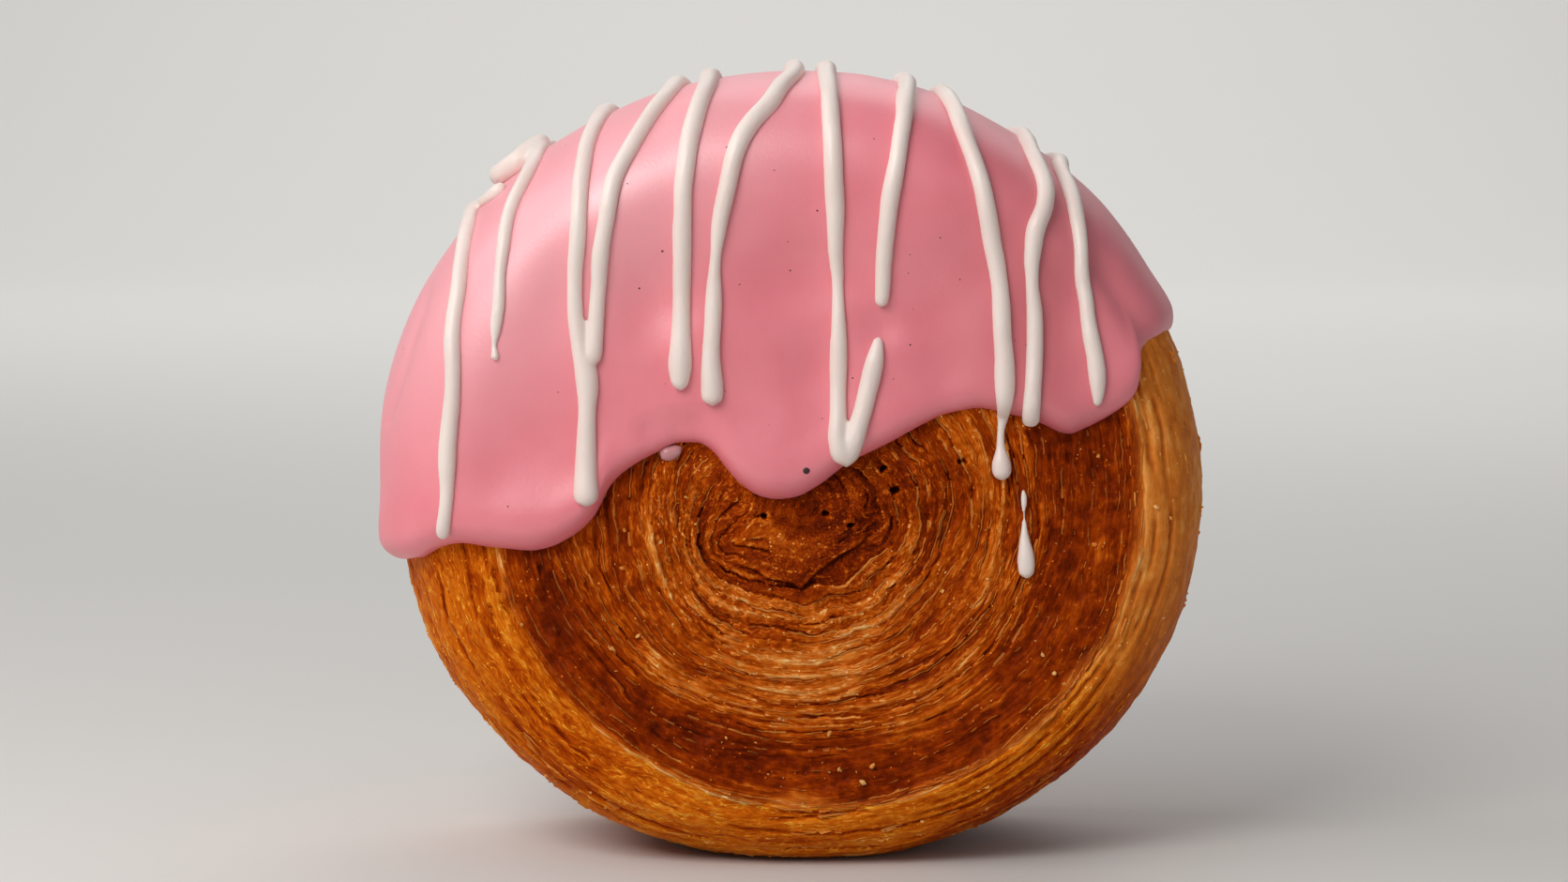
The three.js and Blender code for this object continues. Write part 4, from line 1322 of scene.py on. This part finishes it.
class Recipe:
    """The nodes of a material or of a group, with short ways to add more."""

    def __init__(self, tree):
        self.nodes, self.link = tree.nodes, tree.links.new

    def feed(self, socket, value):
        """Links an output to a socket, or sets the socket to a value."""
        if isinstance(value, bpy.types.NodeSocket):
            self.link(value, socket)
        else:
            socket.default_value = value

    def add(self, kind, **inputs):
        node = self.nodes.new("ShaderNode" + kind)
        for name, value in inputs.items():
            self.feed(node.inputs[name.replace("_", " ")], value)
        return node

    def combine(self, operation, first, second):
        node = self.nodes.new("ShaderNodeMath")
        node.operation = operation
        self.feed(node.inputs[0], first)
        self.feed(node.inputs[1], second)
        return node.outputs[0]

    def plus(self, first, second):
        return self.combine("ADD", first, second)

    def minus(self, first, second):
        return self.combine("SUBTRACT", first, second)

    def times(self, first, second):
        return self.combine("MULTIPLY", first, second)

    def ramp(self, source, stops):
        node = self.add("ValToRGB", Fac=source)
        while len(node.color_ramp.elements) < len(stops):
            node.color_ramp.elements.new(0.5)
        for element, (at, colour) in zip(node.color_ramp.elements, stops):
            element.position, element.color = at, colour
        return node.outputs["Color"]

    def blend(self, kind, share, first, second):
        node = self.nodes.new("ShaderNodeMix")
        node.data_type, node.blend_type = "RGBA", kind
        for name, value in (("Factor", share), ("A", first), ("B", second)):
            self.feed(node.inputs[name], value)
        return node.outputs["Result"]

    def stored(self, name, output="Fac"):
        """What the modelling kept on the vertices under a name."""
        node = self.nodes.new("ShaderNodeAttribute")
        node.attribute_name = name
        return node.outputs[output]

    def field(self, vector, scale, detail):
        """A noise about nothing: from about -0.3 to 0.3."""
        node = self.add("TexNoise", Vector=vector, Scale=scale, Detail=detail, Roughness=0.6)
        return self.minus(node.outputs["Fac"], 0.5)

    def mask(self, value, low, high):
        return self.add("MapRange", Value=value, From_Min=low, From_Max=high).outputs["Result"]

    def stretched(self, vector, scale):
        return self.add("Mapping", Vector=vector, Scale=scale).outputs["Vector"]

    def place(self):
        return self.add("TexCoord").outputs["Object"]

    def group(self, tree, **inputs):
        node = self.nodes.new("ShaderNodeGroup")
        node.node_tree = tree
        for name, value in inputs.items():
            self.feed(node.inputs[name], value)
        return node.outputs

    def set_bump(self, shader, height, strength, distance):
        bump = self.add("Bump", Height=height, Strength=strength, Distance=distance)
        self.link(bump.outputs["Normal"], shader.inputs["Normal"])


def new_material(name):
    """A material, its recipe and its shader."""
    material = bpy.data.materials.new(name)
    material.use_nodes = True
    recipe = Recipe(material.node_tree)
    return material, recipe, recipe.nodes["Principled BSDF"]


def set_inputs(shader, **inputs):
    for name, value in inputs.items():
        shader.inputs[name.replace("_", " ")].default_value = value


def new_group(name, takes, gives):
    """A node group with named inputs and outputs, its recipe and both of its ends."""
    group = bpy.data.node_groups.new(name, "ShaderNodeTree")
    for socket, kind in takes.items():
        group.interface.new_socket(socket, in_out="INPUT", socket_type=kind)
    for socket in gives:
        group.interface.new_socket(socket, in_out="OUTPUT", socket_type="NodeSocketFloat")
    given, made = group.nodes.new("NodeGroupInput"), group.nodes.new("NodeGroupOutput")
    return group, Recipe(group), given.outputs, made.inputs


# %% Group: sugar grain
def make_sugar_grain():
    """Fine grain to feel and broad clouds to see, which all sugar has."""
    takes = {"Size": "NodeSocketFloat"}
    group, recipe, given, made = new_group("sugar_grain", takes, ("Height", "Mottle"))
    place = recipe.place()
    fine = recipe.add("TexNoise", Vector=place, Scale=given["Size"], Detail=3.0, Roughness=0.6)
    broad = recipe.add("TexNoise", Vector=place, Scale=130.0, Detail=2.0, Roughness=0.5)
    recipe.link(fine.outputs["Fac"], made["Height"])
    recipe.link(broad.outputs["Fac"], made["Mottle"])
    return group


sugar_grain = make_sugar_grain()


# %% Group: sheet lines
def make_sheet_lines():
    """Thin lines along the contours of a noise: crests of sheets that run, meet and part."""
    takes = {"Vector": "NodeSocketVector", "Spacing": "NodeSocketFloat", "Width": "NodeSocketFloat"}
    group, recipe, given, made = new_group("sheet_lines", takes, ("Crest", "Valley"))
    field = recipe.add("TexNoise", Vector=given["Vector"], Scale=1.0, Detail=2.5, Roughness=0.55)
    wave = recipe.combine("PINGPONG", field.outputs["Fac"], given["Spacing"])
    away = recipe.combine("DIVIDE", wave, given["Width"])
    recipe.link(recipe.minus(1.0, recipe.combine("MINIMUM", away, 1.0)), made["Crest"])
    recipe.link(recipe.combine("DIVIDE", wave, given["Spacing"]), made["Valley"])
    return group


sheet_lines = make_sheet_lines()


# %% Patterns of the crust
def crust_patterns(recipe):
    """Streaks, spots, lines and flecks of the crust, and where it is browned, golden and floury."""
    plus, minus, times = recipe.plus, recipe.minus, recipe.times
    fibre, place = recipe.stored("fibre", "Vector"), recipe.place()
    browned, layered = recipe.stored("browned"), recipe.stored("layered")
    golden = times(layered, minus(1.0, times(browned, 0.7)))
    streaky = plus(times(minus(layered, times(browned, 0.85)), 0.75), 0.25)
    streak = times(recipe.field(recipe.stretched(fibre, (0.24, 3.4, 1.0)), 1.0, 5.0), streaky)
    sheets = recipe.group(sheet_lines, Vector=recipe.stretched(fibre, (0.28, 1.5, 0.4)),
                          Spacing=0.09, Width=0.028)
    patchy = recipe.field(recipe.stretched(fibre, (0.4, 1.1, 1.0)), 1.0, 2.0)
    shown = recipe.mask(patchy, -0.06, 0.1)
    threads = recipe.group(sheet_lines, Vector=recipe.stretched(place, (520.0, 520.0, 700.0)),
                           Spacing=0.16, Width=0.02)
    tangle = recipe.mask(recipe.field(place, 240.0, 2.0), 0.04, 0.14)
    flecks = recipe.add("TexVoronoi", Vector=place, Scale=1400.0).outputs
    few = recipe.mask(flecks["Color"], 0.72, 0.74)
    return SimpleNamespace(
        browned=browned, golden=golden, floury=minus(1.0, layered), streak=streak,
        spot=recipe.field(place, 900.0, 3.0), blotch=recipe.field(place, 360.0, 5.0),
        crest=times(times(sheets["Crest"], shown), golden), valley=sheets["Valley"],
        thread=times(times(threads["Crest"], tangle), browned),
        fleck=times(recipe.mask(flecks["Distance"], 0.2, 0.12), few))


# %% Baked crust
BAKED = [(0.0, srgb(66, 14, 0)), (0.2, srgb(122, 36, 0)), (0.35, srgb(156, 56, 0)),
         (0.5, srgb(194, 89, 8)), (0.66, srgb(224, 126, 40)), (0.82, srgb(242, 172, 94)),
         (1.0, srgb(252, 212, 142))]
FLOUR, BUTTER = srgb(222, 142, 68), (1.0, 0.88, 0.25, 1.0)


def make_crust_finish():
    material, recipe, skin = new_material("baked_crust")
    plus, minus, times = recipe.plus, recipe.minus, recipe.times
    seen = crust_patterns(recipe)

    shade = plus(recipe.stored("shade"), times(seen.streak, 0.36))
    shade = plus(shade, times(seen.spot, plus(times(seen.browned, 0.24), 0.22)))
    mottle = plus(plus(times(seen.browned, 0.22), times(seen.floury, 0.5)), 0.2)
    shade = plus(shade, times(seen.blotch, mottle))
    # Darker in the valleys between sheet crests: painted shade. Paler on the crests: painted
    # highlight, and on the browned ring's threads, which are pale.
    hollow = times(recipe.combine("POWER", seen.valley, 3.0), times(seen.golden, 0.13))
    pale = plus(times(seen.crest, 0.3), times(seen.thread, 0.3))
    shade = plus(minus(shade, hollow), plus(pale, times(seen.fleck, 0.4)))
    colour = recipe.blend("MIX", times(seen.floury, 0.4), recipe.ramp(shade, BAKED), FLOUR)
    colour = recipe.blend("MULTIPLY", recipe.stored("buttery"), colour, BUTTER)
    recipe.link(colour, skin.inputs["Base Color"])
    recipe.link(plus(times(seen.streak, 0.4), 0.44), skin.inputs["Roughness"])

    ridge = times(minus(1.0, seen.valley), seen.golden)
    grain = plus(times(seen.spot, 0.5), seen.streak)
    grain = plus(grain, plus(times(ridge, 0.35), times(seen.thread, 0.4)))
    grain = plus(grain, times(seen.browned, plus(seen.blotch, seen.spot)))
    recipe.set_bump(skin, grain, 0.6, 0.3 * MM)
    set_inputs(skin, Specular_IOR_Level=0.03, Subsurface_Weight=0.25,
               Subsurface_Radius=(1.0, 0.3, 0.06), Subsurface_Scale=0.9 * MM)
    return material


baked_crust = make_crust_finish()


# %% Sugar finishes
def make_sugar_finish(name, plain, deep, rough, grain_size, cloudy, tints=(), **gloss):
    """A finish of sugar. A tint is another colour, shown where a stored value says so."""
    material, recipe, sugar = new_material(name)
    grain = recipe.group(sugar_grain, Size=grain_size)
    colour = recipe.ramp(grain["Mottle"], [(0.35, deep), (0.65, plain)])
    for stored, tint in tints:
        colour = recipe.blend("MIX", recipe.stored(stored), colour, tint)
    recipe.link(colour, sugar.inputs["Base Color"])
    recipe.set_bump(sugar, grain["Height"], 0.25, 0.1 * MM)
    set_inputs(sugar, Roughness=rough, Subsurface_Weight=cloudy, Subsurface_Radius=(1.0, 0.5, 0.45),
               Subsurface_Scale=0.9 * MM, **gloss)
    return material


# Tints of the glaze: a painted highlight where 'pale' is stored and a painted shade where 'thin' is
# stored.
GLAZE_TINTS = (("pale", srgb(246, 164, 173)), ("thin", srgb(212, 104, 114)))
pink_sugar = make_sugar_finish(
    "pink_sugar", plain=srgb(241, 130, 143), deep=srgb(236, 122, 135), rough=0.42, grain_size=2600.0,
    cloudy=0.15, tints=GLAZE_TINTS, Specular_IOR_Level=1.0, IOR=1.6)
clear_sugar = make_sugar_finish(
    "clear_sugar", plain=srgb(214, 160, 162), deep=srgb(200, 142, 146), rough=0.26, grain_size=2600.0,
    cloudy=0.6)
dark_vanilla = make_sugar_finish(
    "dark_vanilla", plain=srgb(70, 34, 38), deep=srgb(52, 24, 28), rough=0.4, grain_size=3000.0,
    cloudy=0.1)
white_sugar = make_sugar_finish(
    "white_sugar", plain=srgb(240, 227, 219), deep=srgb(235, 219, 211), rough=0.4, grain_size=1800.0,
    cloudy=0.3)
print("finishes:", [finish.name for finish in bpy.data.materials])

# %% Give each piece its finish and body
dough = (crust_front, crust_back, crust_rim, edges_front, edges_back, edges_rim, crumbs)
dressed = [(piece, baked_crust, "crust") for piece in dough]
dressed += [(pink_glaze, pink_sugar, "pink_glaze"), (clear_drip, clear_sugar, "pink_glaze"),
            (specks, dark_vanilla, "pink_glaze"), (white_icing, white_sugar, "white_icing")]
for piece, finish, slot in dressed:
    piece.data.materials.clear()
    piece.data.materials.append(finish)
    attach(piece, "root")
for piece in (*dough, white_icing):
    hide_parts("roll")
for piece in (pink_glaze, clear_drip, specks, white_icing):
    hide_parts("glaze")
print("triangles in all:", sum(count_triangles(piece) for piece, _, _ in dressed))

# %% [markdown]
# ## Floor, light and camera
# A pale floor and soft light show the roll plainly. The main light is large and stands high at
# the left in front, so the top of the glaze is brightest and the right side falls into a gentle
# shade; a painted highlight at the glaze's top and upper left and a painted shade at its right add
# to both. The paper sweeps up far behind, with a light of its own. The camera stands a little above
# the roll and looks along +Y, with a long lens.

# %% Floor and light
FLOOR_WIDE, PAPER_HIGH, SWEEP = 6, 3, 1.4


def select_far_edge(plane):
    """Selects the edge of the floor farthest back, and starts editing."""
    bpy.ops.object.mode_set(mode="EDIT")
    bpy.ops.mesh.select_all(action="DESELECT")
    bpy.ops.object.mode_set(mode="OBJECT")
    for vertex in plane.data.vertices:
        vertex.select = vertex.co.y > FLOOR_WIDE / 2 - 0.01 and vertex.co.z < 0.01
    for edge in plane.data.edges:
        edge.select = all(plane.data.vertices[v].select for v in edge.vertices)
    bpy.ops.object.mode_set(mode="EDIT")


bpy.ops.object.select_all(action="DESELECT")
bpy.ops.mesh.primitive_plane_add(size=FLOOR_WIDE)
floor = bpy.context.object
floor.name = "floor"
select_far_edge(floor)
bpy.ops.mesh.extrude_region_move(TRANSFORM_OT_translate={"value": (0, 0, PAPER_HIGH)})
bpy.ops.object.mode_set(mode="OBJECT")
select_far_edge(floor)
bpy.ops.mesh.bevel(offset=SWEEP, segments=16, affect="EDGES")
bpy.ops.object.mode_set(mode="OBJECT")
bpy.ops.object.shade_smooth()
paper, _, matt = new_material("pale_paper")
set_inputs(matt, Base_Color=srgb(216, 214, 210), Roughness=0.8)
floor.data.materials.append(paper)
floor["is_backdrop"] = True

world = bpy.data.worlds.new("studio")
bpy.context.scene.world = world
world.use_nodes = True
set_inputs(world.node_tree.nodes["Background"], Color=srgb(236, 236, 238), Strength=0.25)
print("paper", FLOOR_WIDE, "m wide")

# %% Lights
ROLL_MIDDLE = (0, 0, AXIS_HEIGHT)


def add_lamp(name, place, size, watts, colour=(1, 1, 1), aim=ROLL_MIDDLE):
    bpy.ops.object.light_add(type="AREA", location=place)
    lamp = bpy.context.object
    lamp.name = name
    lamp.data.size = size
    lamp.data.energy = watts
    lamp.data.color = colour
    lamp.rotation_euler = (Vector(aim) - Vector(place)).to_track_quat("-Z", "Y").to_euler()
    print(name, watts, "W")


add_lamp("main_light", (-0.2, -0.32, 0.32), 0.22, 1.25, (1, 0.98, 0.96))
add_lamp("fill_light", (0.6, -0.55, 0.25), 0.7, 0.23, (1, 0.98, 0.97))
add_lamp("side_light", (-0.33, -0.04, 0.38), 0.36, 0.65)
add_lamp("back_light", (0.2, 0.6, 0.6), 0.5, 0.8)
add_lamp("paper_light", (0, 1.2, 1.6), 1.6, 30, aim=(0, 2.6, 0.3))

# %% Camera
LENS, SENSOR = 85, 36
IMAGE_WIDE, IMAGE_HIGH = 1672, 940
AXIS_AT = (855, 505)  # where the roll's middle stands in the picture, in pixels
CAMERA_AWAY, CAMERA_UP = 0.464, math.radians(5)

metres_per_pixel = CAMERA_AWAY * SENSOR / LENS / IMAGE_WIDE
bpy.ops.object.camera_add()
camera = bpy.context.object
camera.data.lens, camera.data.sensor_width = LENS, SENSOR
away = Vector((0, -math.cos(CAMERA_UP), math.sin(CAMERA_UP)))
sideways = Vector((1, 0, 0))
upward = away.cross(sideways)
aim = Vector(ROLL_MIDDLE) - sideways * (AXIS_AT[0] - IMAGE_WIDE / 2) * metres_per_pixel
aim += upward * (AXIS_AT[1] - IMAGE_HIGH / 2) * metres_per_pixel
camera.location = aim + away * CAMERA_AWAY
camera.rotation_euler = (-away).to_track_quat("-Z", "Y").to_euler()
camera.data.clip_start, camera.data.clip_end = 0.01, 20
bpy.context.scene.camera = camera
bpy.context.scene.view_settings.view_transform = "Standard"
print("camera at", [round(part, 3) for part in camera.location])

# %% [markdown]
# ## Check the size
# The dressed roll must fill the same box as the solids, so the change between the two boxes is
# printed.

# %% Print the change in size
low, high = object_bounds()
grown = [(b - a) - (d - c) for a, b, c, d in zip(low, high, CAD_LOW, CAD_HIGH)]
print("size change in mm:", [round(1000 * part, 2) for part in grown])
